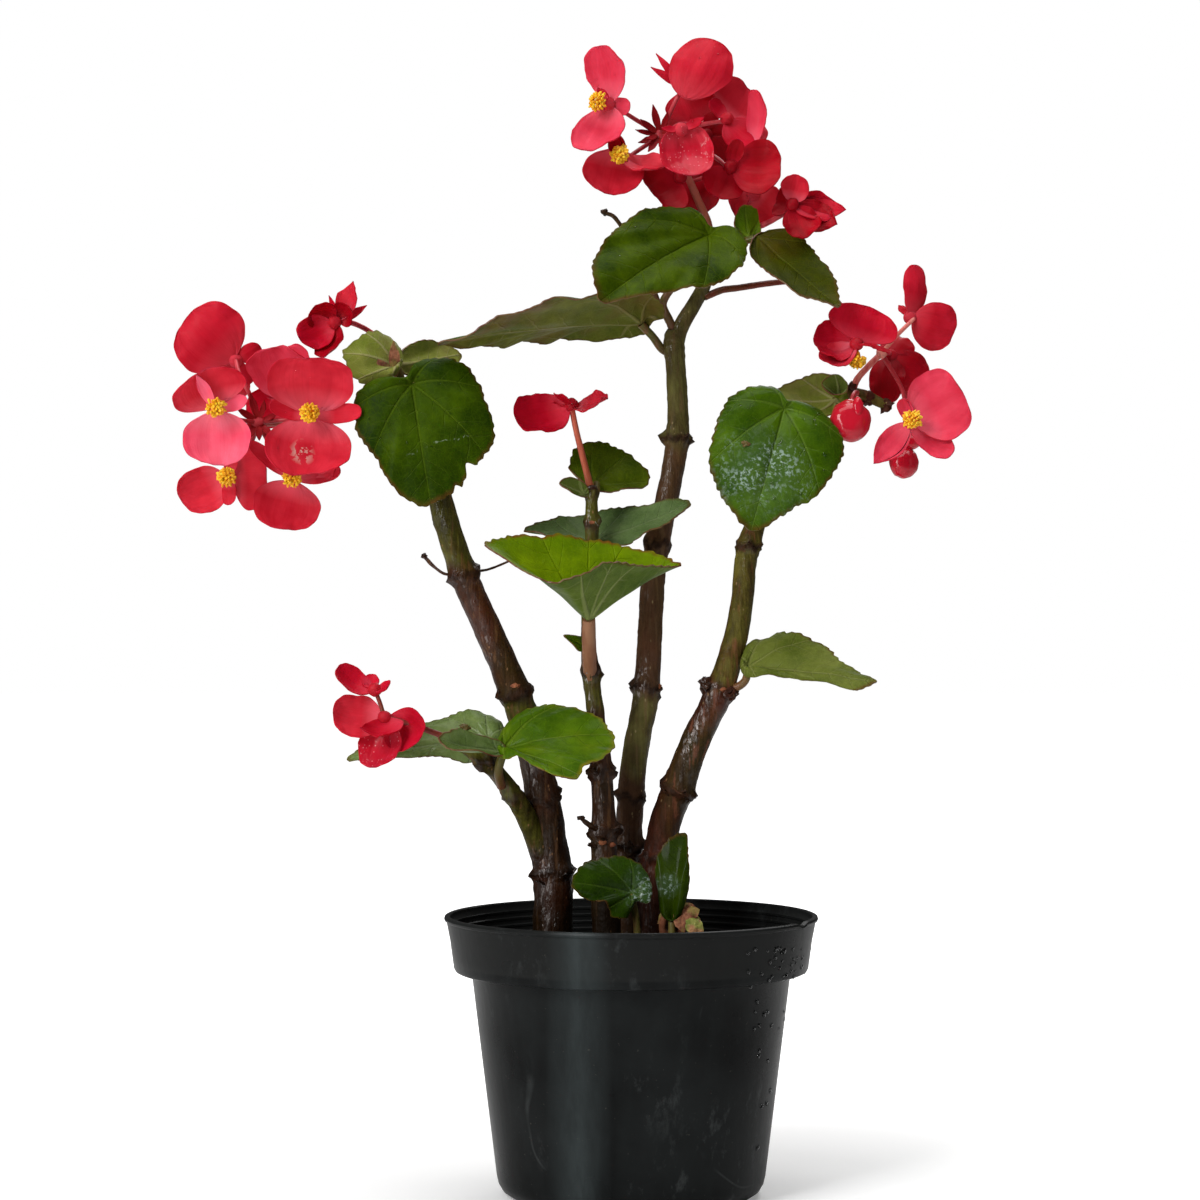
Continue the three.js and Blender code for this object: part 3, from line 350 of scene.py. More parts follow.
def sheet(name, across, along):
    """A flat grid, with each corner's share across and along it, from 0 to 1."""
    piece = add(
        name, bpy.ops.mesh.primitive_grid_add, x_subdivisions=across, y_subdivisions=along, size=1)
    flat = corners(piece)
    return piece, flat[:, 0] + 0.5, flat[:, 1] + 0.5


def move_to(piece, points, **values):
    """Moves a sheet's corners to their places in millimetres and welds the ones that meet."""
    put_corners(piece, lean(points) / 1000, **values)
    return on_all(piece, bpy.ops.mesh.remove_doubles, threshold=WELD)


print("corners closer than", WELD * 1e6, "micrometres are welded")

# %% Finishing a piece


def smooth(piece, angle=70):
    bpy.ops.object.select_all(action="DESELECT")
    piece.select_set(True)
    bpy.context.view_layer.objects.active = piece
    bpy.ops.object.shade_smooth_by_angle(angle=math.radians(angle))
    return piece


def put_in_place(piece, slot, *nodes):
    """Hides the solids a piece takes the place of, and lets it ride with the pot."""
    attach(piece, "root")
    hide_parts(*nodes)
    return piece


print("each piece rides with the pot")

# %% [markdown]
# ## The pot
# A nursery pot is one thin shell of injection-moulded polypropylene: a deep band under the
# rim, a body that tapers, and a rounded foot. It could be a lathe curve or a spun outline.
# Here a circle is extruded and resized ring by ring, up the outside and down the inside,
# which is how such a shell is drawn by hand. Small steps inside the band are the ribs
# that keep stacked pots apart.

# %% The pot's shell
POT_HEIGHT, RIBS_INSIDE, RIB_DEPTH = 113, 6, 0.45
outside = [
    (46.5, 0), (49.6, 0.5), (52.2, 2.2), (53.8, 5), (54.5, 8), (57, 28), (59.5, 48), (62, 68),
    (64.6, 89.2), (65.2, 90.0), (70.2, 90.3), (71.3, 90.8), (71.9, 92), (72.6, 97), (73.4, 103),
    (74.9, 110.6), (75.7, 111.2), (75.9, 111.9), (75.6, 112.7), (75.0, POT_HEIGHT),
]
ribs = []
for step in range(RIBS_INSIDE):
    foot, wall = 108.6 - step * 2.9, 73.0 - step * 0.37
    ribs += [
        (wall, foot + 1.2), (wall - RIB_DEPTH, foot + 0.8), (wall - RIB_DEPTH, foot), (wall - 0.1, foot - 0.4)]
inside = [
    (73.9, POT_HEIGHT), (73.5, 112.6), (73.4, 111.4), *ribs, (70.6, 93), (70.2, 91.4), (63.4, 90.6),
    (63.2, 89), (61, 70), (58.4, 50), (55.8, 28), (53.2, 8.4), (51.5, 4.4), (46.1, 1.8),
]
rings = outside + inside
pot = add(
    "moulded_pot", bpy.ops.mesh.primitive_circle_add,
    vertices=160, radius=rings[0][0] / 1000, location=(0, 0, 0), fill_type="NGON")
bpy.ops.object.mode_set(mode="EDIT")
bpy.ops.mesh.select_mode(type="EDGE")
bpy.ops.mesh.select_all(action="SELECT")
for (r0, z0), (r1, z1) in zip(rings, rings[1:]):
    bpy.ops.mesh.extrude_edges_move(TRANSFORM_OT_translate={"value": (0, 0, (z1 - z0) / 1000)})
    bpy.ops.transform.resize(value=(r1 / r0, r1 / r0, 1), center_override=(0, 0, z1 / 1000))
bpy.ops.mesh.edge_face_add()
bpy.ops.object.mode_set(mode="OBJECT")
face_out(pot)
print("pot faces:", len(pot.data.polygons))

# %% [markdown]
# The floor of the pot has six drain holes. They are bored with a Boolean, as a cutter is
# easier to place on a circle than a loop of edges. Then the rim gets its one small nick, and
# the whole shell goes a hair out of round.

# %% Drain holes and a nick
DRAINS, DRAIN_RADIUS, DRAIN_CIRCLE = 6, 0.004, 0.037
NICK_BEARING, NICK_WIDTH, NICK_DEPTH, OUT_OF_ROUND = 64, 2.2, 1.3, 0.002
for number in range(DRAINS):
    turn = (number + 0.5) / DRAINS * 2 * math.pi
    drill = add(
        "drill", bpy.ops.mesh.primitive_cylinder_add, vertices=32, radius=DRAIN_RADIUS, depth=0.01,
        location=(DRAIN_CIRCLE * math.cos(turn), DRAIN_CIRCLE * math.sin(turn), 0))
    bpy.ops.object.select_all(action="DESELECT")
    bpy.context.view_layer.objects.active = pot
    bore = pot.modifiers.new("drain", "BOOLEAN")
    bore.operation, bore.solver, bore.object = "DIFFERENCE", "EXACT", drill
    bpy.ops.object.modifier_apply(modifier=bore.name)
    bpy.data.objects.remove(drill)

spots = corners(pot) * 1000
bearing = np.degrees(np.arctan2(spots[:, 0], -spots[:, 1]))
spots[:, 2] -= NICK_DEPTH * np.exp(-(((bearing - NICK_BEARING) / NICK_WIDTH) ** 2)) * (spots[:, 2] > 111)
sway = np.clip(spots[:, 2] / POT_HEIGHT, 0, 1) ** 2 * OUT_OF_ROUND
spots[:, 0] *= 1 + sway * np.cos(np.radians(bearing * 2 + 40))
spots[:, 1] *= 1 + sway * np.cos(np.radians(bearing * 3))
put_corners(pot, spots / 1000)
put_in_place(smooth(pot, 35), "pot", "pot")
print("pot:", len(pot.data.polygons), "faces with", DRAINS, "drain holes")

# %% [markdown]
# The plastic is near black and a little green, with a broken gloss: cloudy mottles, fine
# upright marks from stacking, a few pale scratches and specks of dried soil. A soft, lighter
# upright streak down the front left is a painted reflection.

# %% Black moulded plastic
UPRIGHT = (1, 1, 0.12)
REFLECTION_LEFT, BAND_START = 0.021, (0.0935, 0.0945)
f = Finish("black_plastic")
cloud = f.patches(22, 0.35, 0.7, 4)
drag = f.patches(120, 0.45, 0.75, 3, stretch=UPRIGHT)
speck = f.patches(700, 0.71, 0.76, 2)
line = f.node("TexWave", {
    "Vector": f.where, "Scale": 7.0, "Distortion": 9.0, "Detail": 2.0, "Detail Scale": 1.2,
}, wave_type="BANDS", bands_direction="DIAGONAL").outputs["Fac"]
scratch = f.times(f.ramp(line, 0.9988, 1.0), f.patches(34, 0.58, 0.66, 2))
# Painted reflection: a soft, lighter, grey-green upright streak down the front left of the pot, broken by cloudy
# noise.
left = f.ramp(f.math("ABSOLUTE", f.math("ADD", f.axis("X"), REFLECTION_LEFT)), 0.013, 0.0)
painted_reflection = f.times(
    left, f.ramp(f.axis("Y"), -0.02, -0.05), f.patches(60, 0.3, 0.65, 5, 0.7, (1, 1, 0.22), out=(0.35, 1.0)))
scuff = f.times(f.patches(95, 0.55, 0.66, 6, 0.75, (1, 1, 0.5)), f.patches(16, 0.48, 0.6, 2))
f.base = f.mix(cloud, (0.0036, 0.0039, 0.0039), (0.0125, 0.0142, 0.0144))
f.over(drag, (0.012, 0.014, 0.014), 0.5)
f.over(f.ramp(f.axis("Z"), *BAND_START, 0, 0.6), (0.016, 0.0165, 0.016))
f.over(scuff, (0.042, 0.046, 0.046), 0.65)
# Lays the painted reflection streak over the plastic.
f.over(painted_reflection, (0.040, 0.049, 0.050))
f.over(scratch, (0.07, 0.076, 0.076), 0.26)
f.over(speck, (0.07, 0.065, 0.055), 0.4)
dress(pot, f.settle(
    f.ramp(cloud, 0, 1, 0.26, 0.38), (f.noise(260, 4), 0.12, 0.0004), (f.times(drag, cloud), 0.25, 0.0003),
    IOR=1.15))
print("pot is black")

# %% [markdown]
# ## The potting soil
# The mix is dark peat with bits of bark and a few white grains of perlite. The filling is a
# disc drawn down to the pot's floor, with its top raised by noise. Crumbs could be a particle
# system, but those don't export, so one bit is modelled, roughened in three ways and copied.

# %% The filling
SOIL_LEVEL = 88
soil, u, v = sheet("potting_soil", 96, 40)
turn = u * 2 * math.pi
rings = [(0, 2.2), (20, 2.2), (43, 2.2), (52.2, 9), (56, 40), (59.5, 66), (61.9, 86), (60, 87.6)]
rings += [(57 - 5 * step, SOIL_LEVEL) for step in range(11)] + [(3, SOIL_LEVEL), (0, SOIL_LEVEL)]
radius, level = (np.interp(v, np.linspace(0, 1, len(rings)), some) for some in zip(*rings))
spots = np.column_stack([radius * np.cos(turn), -radius * np.sin(turn), level])
top = np.clip((level - SOIL_LEVEL + 4) / 4, 0, 1)
spots[:, 2] += top * (rough(spots, 26, 5) * 0.8 + rough(spots, 7, 6) * 0.5)
spots[:, 2] = np.where(top > 0.5, np.clip(spots[:, 2], SOIL_LEVEL - 2, SOIL_LEVEL + 1.6), spots[:, 2])
face_out(move_to(soil, spots))
print("filling:", len(soil.data.polygons), "faces")

# %% Copies of one small shape


def pattern(tool, **settings):
    """A small shape to copy: its corners and its faces."""
    shape = add("pattern", tool, **settings)
    points, faces = corners(shape), [tuple(face.vertices) for face in shape.data.polygons]
    bpy.data.objects.remove(shape)
    return points, faces


def heap(name, copies):
    """One piece of many small copies, each with its corners in metres and its faces."""
    starts = np.cumsum([0] + [len(points) for points, _ in copies]).tolist()
    faces = [
        tuple(start + k for k in face)
        for start, (_, some) in zip(starts, copies) for face in some
    ]
    mesh = bpy.data.meshes.new(name)
    mesh.from_pydata(np.vstack([points for points, _ in copies]), [], faces)
    piece = bpy.data.objects.new(name, mesh)
    bpy.context.scene.collection.objects.link(piece)
    return face_out(piece)


def join(pieces, name):
    """One piece from several."""
    bpy.ops.object.select_all(action="DESELECT")
    for piece in pieces:
        piece.select_set(True)
    bpy.context.view_layer.objects.active = pieces[0]
    if len(pieces) > 1:
        bpy.ops.object.join()
    pieces[0].name = name
    return pieces[0]


bit, bit_faces = pattern(bpy.ops.mesh.primitive_ico_sphere_add, subdivisions=1, radius=0.5)
print("a crumb has", len(bit_faces), "faces")

# %% Crumbs of bark, peat and perlite
SOIL_REACH = 60
STEMS = [(-32, 0, 8), (-10, -12, 6), (0, 16, 5.5), (9, -1, 6.3), (27, -22, 3), (2, -25, 2), (16, -25, 2)]
# Each kind's shape, its least and greatest size in millimetres, and how many are strewn.
KINDS = [
    ((1.0, 0.5, 0.28), (2.0, 6.5), 300),
    ((0.8, 0.7, 0.6), (0.9, 2.4), 700),
    ((0.8, 0.8, 0.7), (1.2, 2.6), 70),
]
draw = np.random.default_rng(11)
copies, kinds = [], []
for kind, (shape, sizes, count) in enumerate(KINDS, 1):
    points = bit * shape * (1 + 0.35 * rough(bit * 9, 4, kind)[:, None])
    for _ in range(count):
        far, way = SOIL_REACH * math.sqrt(draw.uniform(0, 1)), draw.uniform(0, 2 * math.pi)
        x, y = far * math.cos(way), far * math.sin(way)
        if any(math.hypot(x - a, y - b) < r + 2 for a, b, r in STEMS):
            continue
        size, spin, tip = draw.uniform(*sizes), draw.uniform(0, 6.28), draw.uniform(-0.5, 0.5)
        turned = points * size @ np.array([
            [math.cos(spin), math.sin(spin), 0], [-math.sin(spin), math.cos(spin), 0], [0, 0, 1]])
        turned[:, 2] += turned[:, 0] * tip
        copies.append(((turned + [x, y, SOIL_LEVEL + 0.7 + 0.22 * size]) / 1000, bit_faces))
        kinds.append(kind)
crumbs = heap("soil_crumbs", copies)
crumbs.data.polygons.foreach_set("material_index", np.repeat(kinds, len(bit_faces)))
print("crumbs:", len(copies))

# %% [markdown]
# Moist peat is nearly black-brown and dull, bark bits are red-brown, and perlite is off-white.
# One function makes all four earths from two colours and a roughness.

# %% Earth finishes


def earth(name, dark, light, scale, dull):
    f = Finish(name)
    mottle = f.patches(scale, 0.3, 0.7, 5)
    f.base = f.mix(mottle, dark, light)
    return f.settle(
        f.ramp(mottle, 0, 1, dull, dull - 0.2), (f.noise(scale * 2.5, 4), 0.8, 0.0012), Specular_IOR_Level=0.3)


peat = earth("moist_peat", (0.006, 0.004, 0.003), (0.035, 0.022, 0.014), 260, 0.95)
dress(
    crumbs, peat, earth("bark_bits", (0.02, 0.01, 0.006), (0.1, 0.055, 0.03), 320, 0.85),
    earth("peat_crumbs", (0.008, 0.005, 0.004), (0.045, 0.03, 0.02), 420, 0.95),
    earth("perlite", (0.45, 0.43, 0.4), (0.75, 0.73, 0.7), 500, 0.9))
soil = join([dress(soil, peat), crumbs], "potting_soil")
put_in_place(soil, "soil", "soil")
print("soil:", len(soil.data.polygons), "faces")

# %% [markdown]
# ## The canes
# A cane begonia's stem is a smooth, fleshy rod with a swollen joint where each old leaf sat.
# The bark is brown below and olive above, wet here, dotted with pale breathing pores, and
# each joint keeps a ragged brown collar. A skin modifier would give rods too, but with no hold on
# the joints. A rolled sheet takes the same path and joints as the solid and carries, point by
# point, how near it is to a joint, which the finish uses for the dark collars.

# %% Curves


def curve(points, share, closed=False):
    """Places on a smooth curve through points, at shares of its spans from 0 to 1."""
    points = np.array(points, float)
    if closed:
        before, start, end, after = (np.roll(points, k, axis=0) for k in (1, 0, -1, -2))
    else:
        long = np.vstack([2 * points[0] - points[1], points, 2 * points[-1] - points[-2]])
        before, start, end, after = long[:-3], long[1:-2], long[2:-1], long[3:]
    place = np.clip(np.asarray(share) * len(start), 0, len(start) - 1e-9)
    k = place.astype(int)
    w = (place - k)[:, None]
    p0, p1, p2, p3 = before[k], start[k], end[k], after[k]
    one, two, three = (
        np.sqrt(np.linalg.norm(b - a, axis=1, keepdims=True)) for a, b in ((p0, p1), (p1, p2), (p2, p3))
    )
    leave = ((p1 - p0) / one - (p2 - p0) / (one + two) + (p2 - p1) / two) * two
    arrive = ((p2 - p1) / two - (p3 - p1) / (two + three) + (p3 - p2) / three) * two
    return (
        p1 + leave * w
        + (3 * p2 - 3 * p1 - 2 * leave - arrive) * w**2
        + (2 * p1 - 2 * p2 + leave + arrive) * w**3
    )


def even_curve(points, count, closed=False):
    """count places at even steps along a curve, and the curve's length."""
    fine = curve(points, np.linspace(0, 1, 1200), closed)
    run = np.concatenate([[0], np.cumsum(np.linalg.norm(np.diff(fine, axis=0), axis=1))])
    steps = np.linspace(0, run[-1], count)
    return np.column_stack([np.interp(steps, run, fine[:, k]) for k in range(3)]), run[-1]


print("a test curve is", round(even_curve([[0, 0, 0], [3, 4, 0], [6, 8, 0]], 5)[1], 2), "mm long")

# %% Rolled stems
# Three fixed sides of a cane, front left, right and back, where trickles of water carry painted glints.
GLINT_TRICKLES = np.array([[-0.42, -0.9, 0.1], [0.9, -0.1, 0.3], [0.2, 0.97, -0.1]])


def bell(away, width, power=2):
    """1 in the middle and nearly 0 past a width."""
    return np.exp(-((away / width) ** power))


def rod(name, path, sides=20, row=1.5, joints=(), knobs=0.02, seed=1, greens=()):
    """A rolled sheet along [x, y, z, radius]; joints are (height, swell), greens (from, to)."""
    path = np.array(path, float)
    rows = max(8, int(even_curve(path[:, :3], 2)[1] / row))
    piece, u, v = sheet(name, sides, rows)
    step = np.rint(v * rows).astype(int)
    share = np.clip((np.arange(rows + 1) - 1) / (rows - 2), 0, 1)
    middle, ahead, behind = (
        curve(path[:, :3], np.clip(share + near, 0, 1)) for near in (0, 0.004, -0.004))
    along = ahead - behind
    along /= np.linalg.norm(along, axis=1, keepdims=True)
    normals = [np.array([0.3, 1, 0.2])]
    for way in along:
        normals.append(unit(normals[-1] - way * (normals[-1] @ way)))
    normals = np.array(normals[1:])
    turn = u[:, None] * 2 * math.pi
    ring = normals[step] * np.cos(turn) + np.cross(along, normals)[step] * np.sin(turn)
    middle = middle[step]
    near, swell = np.zeros(len(u)), np.zeros(len(u))
    for number, (height, size) in enumerate(joints):
        away = middle[:, 2] - height + rough(ring * 6, 5, seed + number) * 1.4
        near = np.maximum(near, min(1, size / 0.6) * bell(away, 2.0))
        lumps = np.clip(0.6 + 0.8 * rough(ring * 6, 7, seed + 70 + number), 0.05, 1.6)
        swell += size * (1.6 * lumps * bell(away, 1.7, 4) + 0.6 * bell(away, 5.5))
        swell -= 0.3 * size * bell(away + 3.6, 1.1)
    reach = np.interp(share * (len(path) - 1), np.arange(len(path)), path[:, 3])[step] + swell
    surface = middle + ring * reach[:, None]
    uneven = 1 + knobs * rough(surface, 9, seed) + knobs * 0.7 * rough(surface, 3.5, seed + 50)
    uneven += near * 0.11 * rough(surface, 2.4, seed + 90)
    reach = np.where((step == 0) | (step == rows), 0, reach * uneven)
    green = np.zeros(len(u))
    height = middle[:, 2] + 2.5 * rough(ring * 8, 9, seed + 4)
    for low, high in greens:
        green = np.maximum(green, np.clip((height - low) / 6, 0, 1) * np.clip((high - height) / 3, 0, 1))
    # Painted glints: how near each point is to one of the glint sides.
    trickle = np.clip(((ring @ GLINT_TRICKLES.T).max(axis=1) - 0.9) / 0.08, 0, 1)
    move_to(piece, middle + ring * reach[:, None], joint=near, run=v, green=green, trickle=trickle)
    return face_out(piece)


print("a trickle runs down", len(GLINT_TRICKLES), "sides of a cane")

# %% The canes' paths
# Each cane has its path, its joints (height, swell) and the stretches that are green (from, to).
canes = {
    "cane_left": dict(
        path=[[-32, 0, 50.4, 7.6], [-32, 0, 70, 7.8], [-32, 0, 90, 8], [-32, 0, 108, 8], [-31.5, 0, 124, 8],
        [-33, 0, 140, 7.4], [-35, -1, 155, 7], [-38, -2, 172, 6.6], [-42, -4, 188, 6.3], [-48, -6, 206, 6],
        [-57, -8, 227, 5.7], [-67, -12, 250, 5.4], [-74, -14, 271, 5], [-80, -14, 294, 4.7],
        [-86, -14, 312, 4.5], [-92, -14, 329, 4.2]], joints=[(130, 0.9), (160, 0.7), (203, 1), (251, 0.8),
        (273, 0.15), (322, 0.3)], green=[(252, 400), (186, 202)]),
    "left_branch": dict(
        path=[[-33, 0, 130, 5.6], [-40, -5, 148, 4.4], [-46, -12, 160, 3.7], [-53, -16, 170, 3.2],
        [-60, -20, 178, 3.4], [-66, -22, 182, 2.8]], joints=[(163, 0.5), (177, 0.9)], green=[(140, 230)]),
    "cane_centre": dict(
        path=[[-10, -12, 50.4, 5.6], [-10, -12, 70, 5.7], [-10, -12, 90, 5.8], [-10, -12, 108, 5.8],
        [-11, -12, 128, 5.5], [-11, -12, 148, 4.9], [-12, -12, 172, 4.1], [-14, -13, 192, 3.6],
        [-16.5, -14, 213, 3.3], [-17.5, -14, 229, 2.7], [-17, -14, 245, 2.6], [-16, -14, 263, 2.7],
        [-16, -14, 285, 2.2]], joints=[(148, 1), (172, 0.8), (212, 0.6), (271, 0.6), (283, 0.5)],
        green=[(194, 213), (228, 300)]),
    "cane_tall": dict(
        path=[[0, 16, 50.4, 5.2], [0, 16, 70, 5.3], [0, 16, 90, 5.4], [0, 16, 108, 5.5], [-1, 15, 126, 5.5],
        [-1, 14, 141, 5.5], [0, 13, 159, 5.4], [2, 12, 179, 5.3], [6, 11, 200, 5.2], [7.5, 12, 220, 5.1],
        [8.5, 12, 241, 5], [10.5, 12, 261, 4.9], [15, 11, 283, 4.7], [19, 10, 306, 4.5], [19, 10, 326, 4.2],
        [17.5, 10, 346, 4]], joints=[(140, 0.9), (160, 0.7), (204, 0.9), (263, 0.8), (306, 1)],
        green=[(166, 203), (300, 400)]),
    "tall_fork": dict(
        path=[[17.5, 10, 342, 3.6], [20, 9.5, 351, 3.4], [25, 8, 360, 3], [30, 6, 369, 2.8],
        [32, 4, 378, 2.6], [33, 3, 387, 2.4]], joints=[], green=[(300, 500)]),
    "cane_right": dict(
        path=[[9, -1, 50.4, 6], [9, -1, 70, 6.1], [9, -1, 90, 6.2], [9, -1, 108, 6.3], [10, 0, 124, 6.4],
        [11.5, 1, 137, 6.6], [14, 2, 150, 6.5], [19, 2, 164, 6.3], [26, 0, 183, 6], [35, -2, 202, 5.5],
        [42, -3, 224, 4.9], [45, -3, 241, 4.6], [47, -2, 260, 4.4], [51, 0, 273, 4], [57, 4, 291, 3.6],
        [67, 7, 309, 3.3], [77, 9, 319, 3], [86, 9, 324.5, 2.8], [95, 8, 324, 2.6], [104, 7, 320, 1.8]],
        joints=[(136, 0.8), (163, 0.9), (204, 1), (262, 0.9), (310, 0.6)], green=[(205, 400)]),
}
made = {
    name: rod(name + "_rod", cane["path"], 26, 1.4, cane["joints"], 0.022, 20 + 3 * number, cane["green"])
    for number, (name, cane) in enumerate(canes.items())
}
print("canes:", {name: len(piece.data.polygons) for name, piece in made.items()})

# %% [markdown]
# Some small growths stay on the canes: dry twigs where old flower stalks broke off, a
# hooked scale, ragged bud scales at the foot and a knobbly tip. They are thin rods and
# knobs: a ball is added, squashed and roughened, and sunk into the bark.

# %% Knobs, twigs and scales


def thicken(piece, thickness, looks=()):
    """Gives an open sheet its thickness in millimetres, and its face, back and rim their looks."""
    bpy.context.view_layer.objects.active = piece
    dress(piece, *looks)
    wall = piece.modifiers.new("thickness", "SOLIDIFY")
    wall.thickness = thickness / 1000
    wall.offset = 0
    wall.material_offset = 1 if len(looks) > 1 else 0
    wall.material_offset_rim = len(looks) - 1 if looks else 0
    bpy.ops.object.modifier_apply(modifier=wall.name)
    return piece


def knob(name, place, size, uneven=0.12, seed=3, squash=(1, 1, 1), level=3):
    """A roughened ball at a place."""
    piece = add(
        name, bpy.ops.mesh.primitive_ico_sphere_add, subdivisions=level, radius=1, calc_uvs=True)
    points = corners(piece)
    swell = 1 + uneven * rough(points * size, size * 1.1, seed)
    swell += uneven * 0.6 * rough(points * size, size * 0.5, seed + 9)
    points = points * swell[:, None] * size * np.array(squash) + np.array(place)
    return put_corners(piece, lean(points) / 1000, joint=0.75, run=0.5, green=0.0)


def twig(name, path, uneven, seed):
    return rod(name, path, 8, 0.8, (), uneven, seed)


def ragged_scale(letter, place, way, length, width, seed):
    """A dry scale that stands out of a joint: a small sheet drawn out to a torn tip."""
    piece, u, v = sheet("scale_" + letter, 6, 8)
    way = unit(way)
    side = unit(np.cross(way, [0.2, -0.4, 1]))
    aside = u * 2 - 1
    half = width / 2 * (1 - v) ** 0.6 * (1 + 0.3 * rough(np.column_stack([u, v, v]) * 9, 4, seed))
    points = np.array(place) + way * (v * length)[:, None] + side * (aside * half)[:, None]
    points += np.cross(side, way) * (length * 0.35 * v**2 - 0.8 * aside**2)[:, None]
    return thicken(move_to(piece, points, joint=0.9, run=v), 0.35)


print("knobs, twigs and scales can be grown")

# %% Growths on the canes
growths = {
    "cane_left": [
        twig("dry_twig", [
            [-67, -8, 254, 1.0], [-75, 2, 251, 0.7], [-80, 5, 254, 0.6], [-84, 7, 258, 0.8]], 0.15, 5),
        twig("dry_twig_right", [[-66, -8, 252, 0.8], [-58, 0, 253, 0.55], [-48, 1, 257, 0.45]], 0.12, 6),
        knob("twig_end", (-84.4, 7.2, 258.6), 1.2, 0.3, 5, level=2),
        knob("branch_collar", (-35, -2, 133), 5.2, 0.1, 7, (1, 0.9, 1.2)),
        ragged_scale("a", (-42, -4, 160), (-0.7, -0.6, 0.5), 3.2, 3, 8),
        ragged_scale("b", (-28, -6, 129), (0.5, -1, 0.2), 4, 4.5, 9),
        ragged_scale("c", (-36, -6, 127), (-0.4, -1, -0.1), 4, 5, 10),
        ragged_scale("d", (-25.5, -3, 130), (1, -0.4, 0.3), 3.5, 3.5, 12),
        ragged_scale("e", (-52, -8, 203), (-0.9, -0.4, 0.4), 2.6, 4, 13),
        ragged_scale("f", (-71.5, -13, 251), (-1, -0.4, -0.2), 2.8, 3, 14),
    ],
    "cane_centre": [
        twig("hook", [[-11, -13, 147, 1.6], [-16, -18, 150, 1.2], [-20, -20, 153, 0.7]], 0.2, 11),
        knob("hook_end", (-20.3, -20.2, 153.6), 1.3, 0.3, 4, (1.4, 1, 0.7), 2),
        knob("top_node", (-16, -14, 285), 2.5, 0.1, 12, (1, 1, 0.8)),
        ragged_scale("g", (-14, -17, 172), (-0.8, -0.7, 0.3), 3, 3.5, 15),
        ragged_scale("h", (-7.5, -15.8, 150), (0.9, -0.6, -0.2), 3.5, 4, 16),
        ragged_scale("i", (-12, -17, 146), (-0.2, -1, -0.5), 4, 5, 17),
        ragged_scale("j", (-15, -16, 143), (-0.8, -0.7, -0.4), 3.4, 4, 19),
    ],
    "cane_tall": [
        rod("fork_node", [
            [18, 10, 338, 3.6], [17.7, 10, 343, 4.5], [17.5, 10, 347, 4.4], [18, 9.5, 351, 3]],
            20, 0.8, (), 0.06, 18, [(300, 400)]),
        twig("dry_stalk", [
            [15, 9, 354, 1.0], [6, 3, 374, 0.8], [-3, -5, 390, 0.8], [-7.5, -8, 395.5, 1.0],
            [-10.5, -9, 396.5, 0.9]], 0.14, 33),
        knob("dry_stalk_end", (-11, -9, 396.8), 1.5, 0.3, 34, (1, 0.8, 1), 2),
        ragged_scale("k", (3.2, 8.8, 160), (0.5, -1, 0.1), 3.2, 4, 20),
        ragged_scale("l", (1.5, 9.5, 204), (-0.9, -0.5, 0.2), 2.6, 4, 21),
        ragged_scale("m", (21.6, 5.8, 307), (0.7, -0.7, 0.3), 2.8, 4, 22),
        ragged_scale("n", (11, 9.3, 204), (0.8, -0.7, 0.1), 2.6, 4, 23),
        ragged_scale("o", (1, 10, 141), (-0.6, -0.9, 0.2), 3.6, 4.5, 25),
    ],
    "cane_right": [
        knob("tip_knob_a", (97, 8, 323), 3.1, 0.28, 24),
        knob("tip_knob_b", (104, 7, 320), 2.5, 0.3, 25),
        knob("tip_knob_c", (90, 6.5, 327.4), 1.9, 0.3, 26, level=2),
        knob("joint_bud_left", (30.5, -5.5, 206.5), 2.5, 0.3, 35, (1, 1, 1.1)),
        knob("joint_bud_right", (39.6, -6.5, 202.6), 2.7, 0.3, 36, (1.15, 1, 0.9)),
        ragged_scale("p", (14.4, -3.2, 163), (-0.8, -0.8, 0.2), 3, 4.5, 27),
        ragged_scale("q", (38, -7, 204), (0.9, -0.5, -0.1), 3, 4, 28),
        ragged_scale("r", (31, -6, 205), (-0.9, -0.5, 0.3), 2.6, 4, 29),
        ragged_scale("s", (48, -6, 263), (-0.3, -1, 0.3), 2.6, 4, 30),
        ragged_scale("t", (20, -4, 163), (0.8, -0.8, 0.1), 3, 4.5, 31),
    ],
}
print("growths:", sum(len(some) for some in growths.values()))

# %% [markdown]
# The bark's colour changes along the cane from brown to olive in soft patches, with a fine
# upright grain. Pores are tiny dashes from a Voronoi pattern. The wet film is the shader's
# coat with a bump of its own, so that it breaks into small glints where the cane is wet. Where
# water has run down in trickles, on three fixed sides of each cane, pale drops of water are
# painted into the colour as glints.

# %% Bark


def shade(colour, share):
    return tuple(part * share for part in colour)


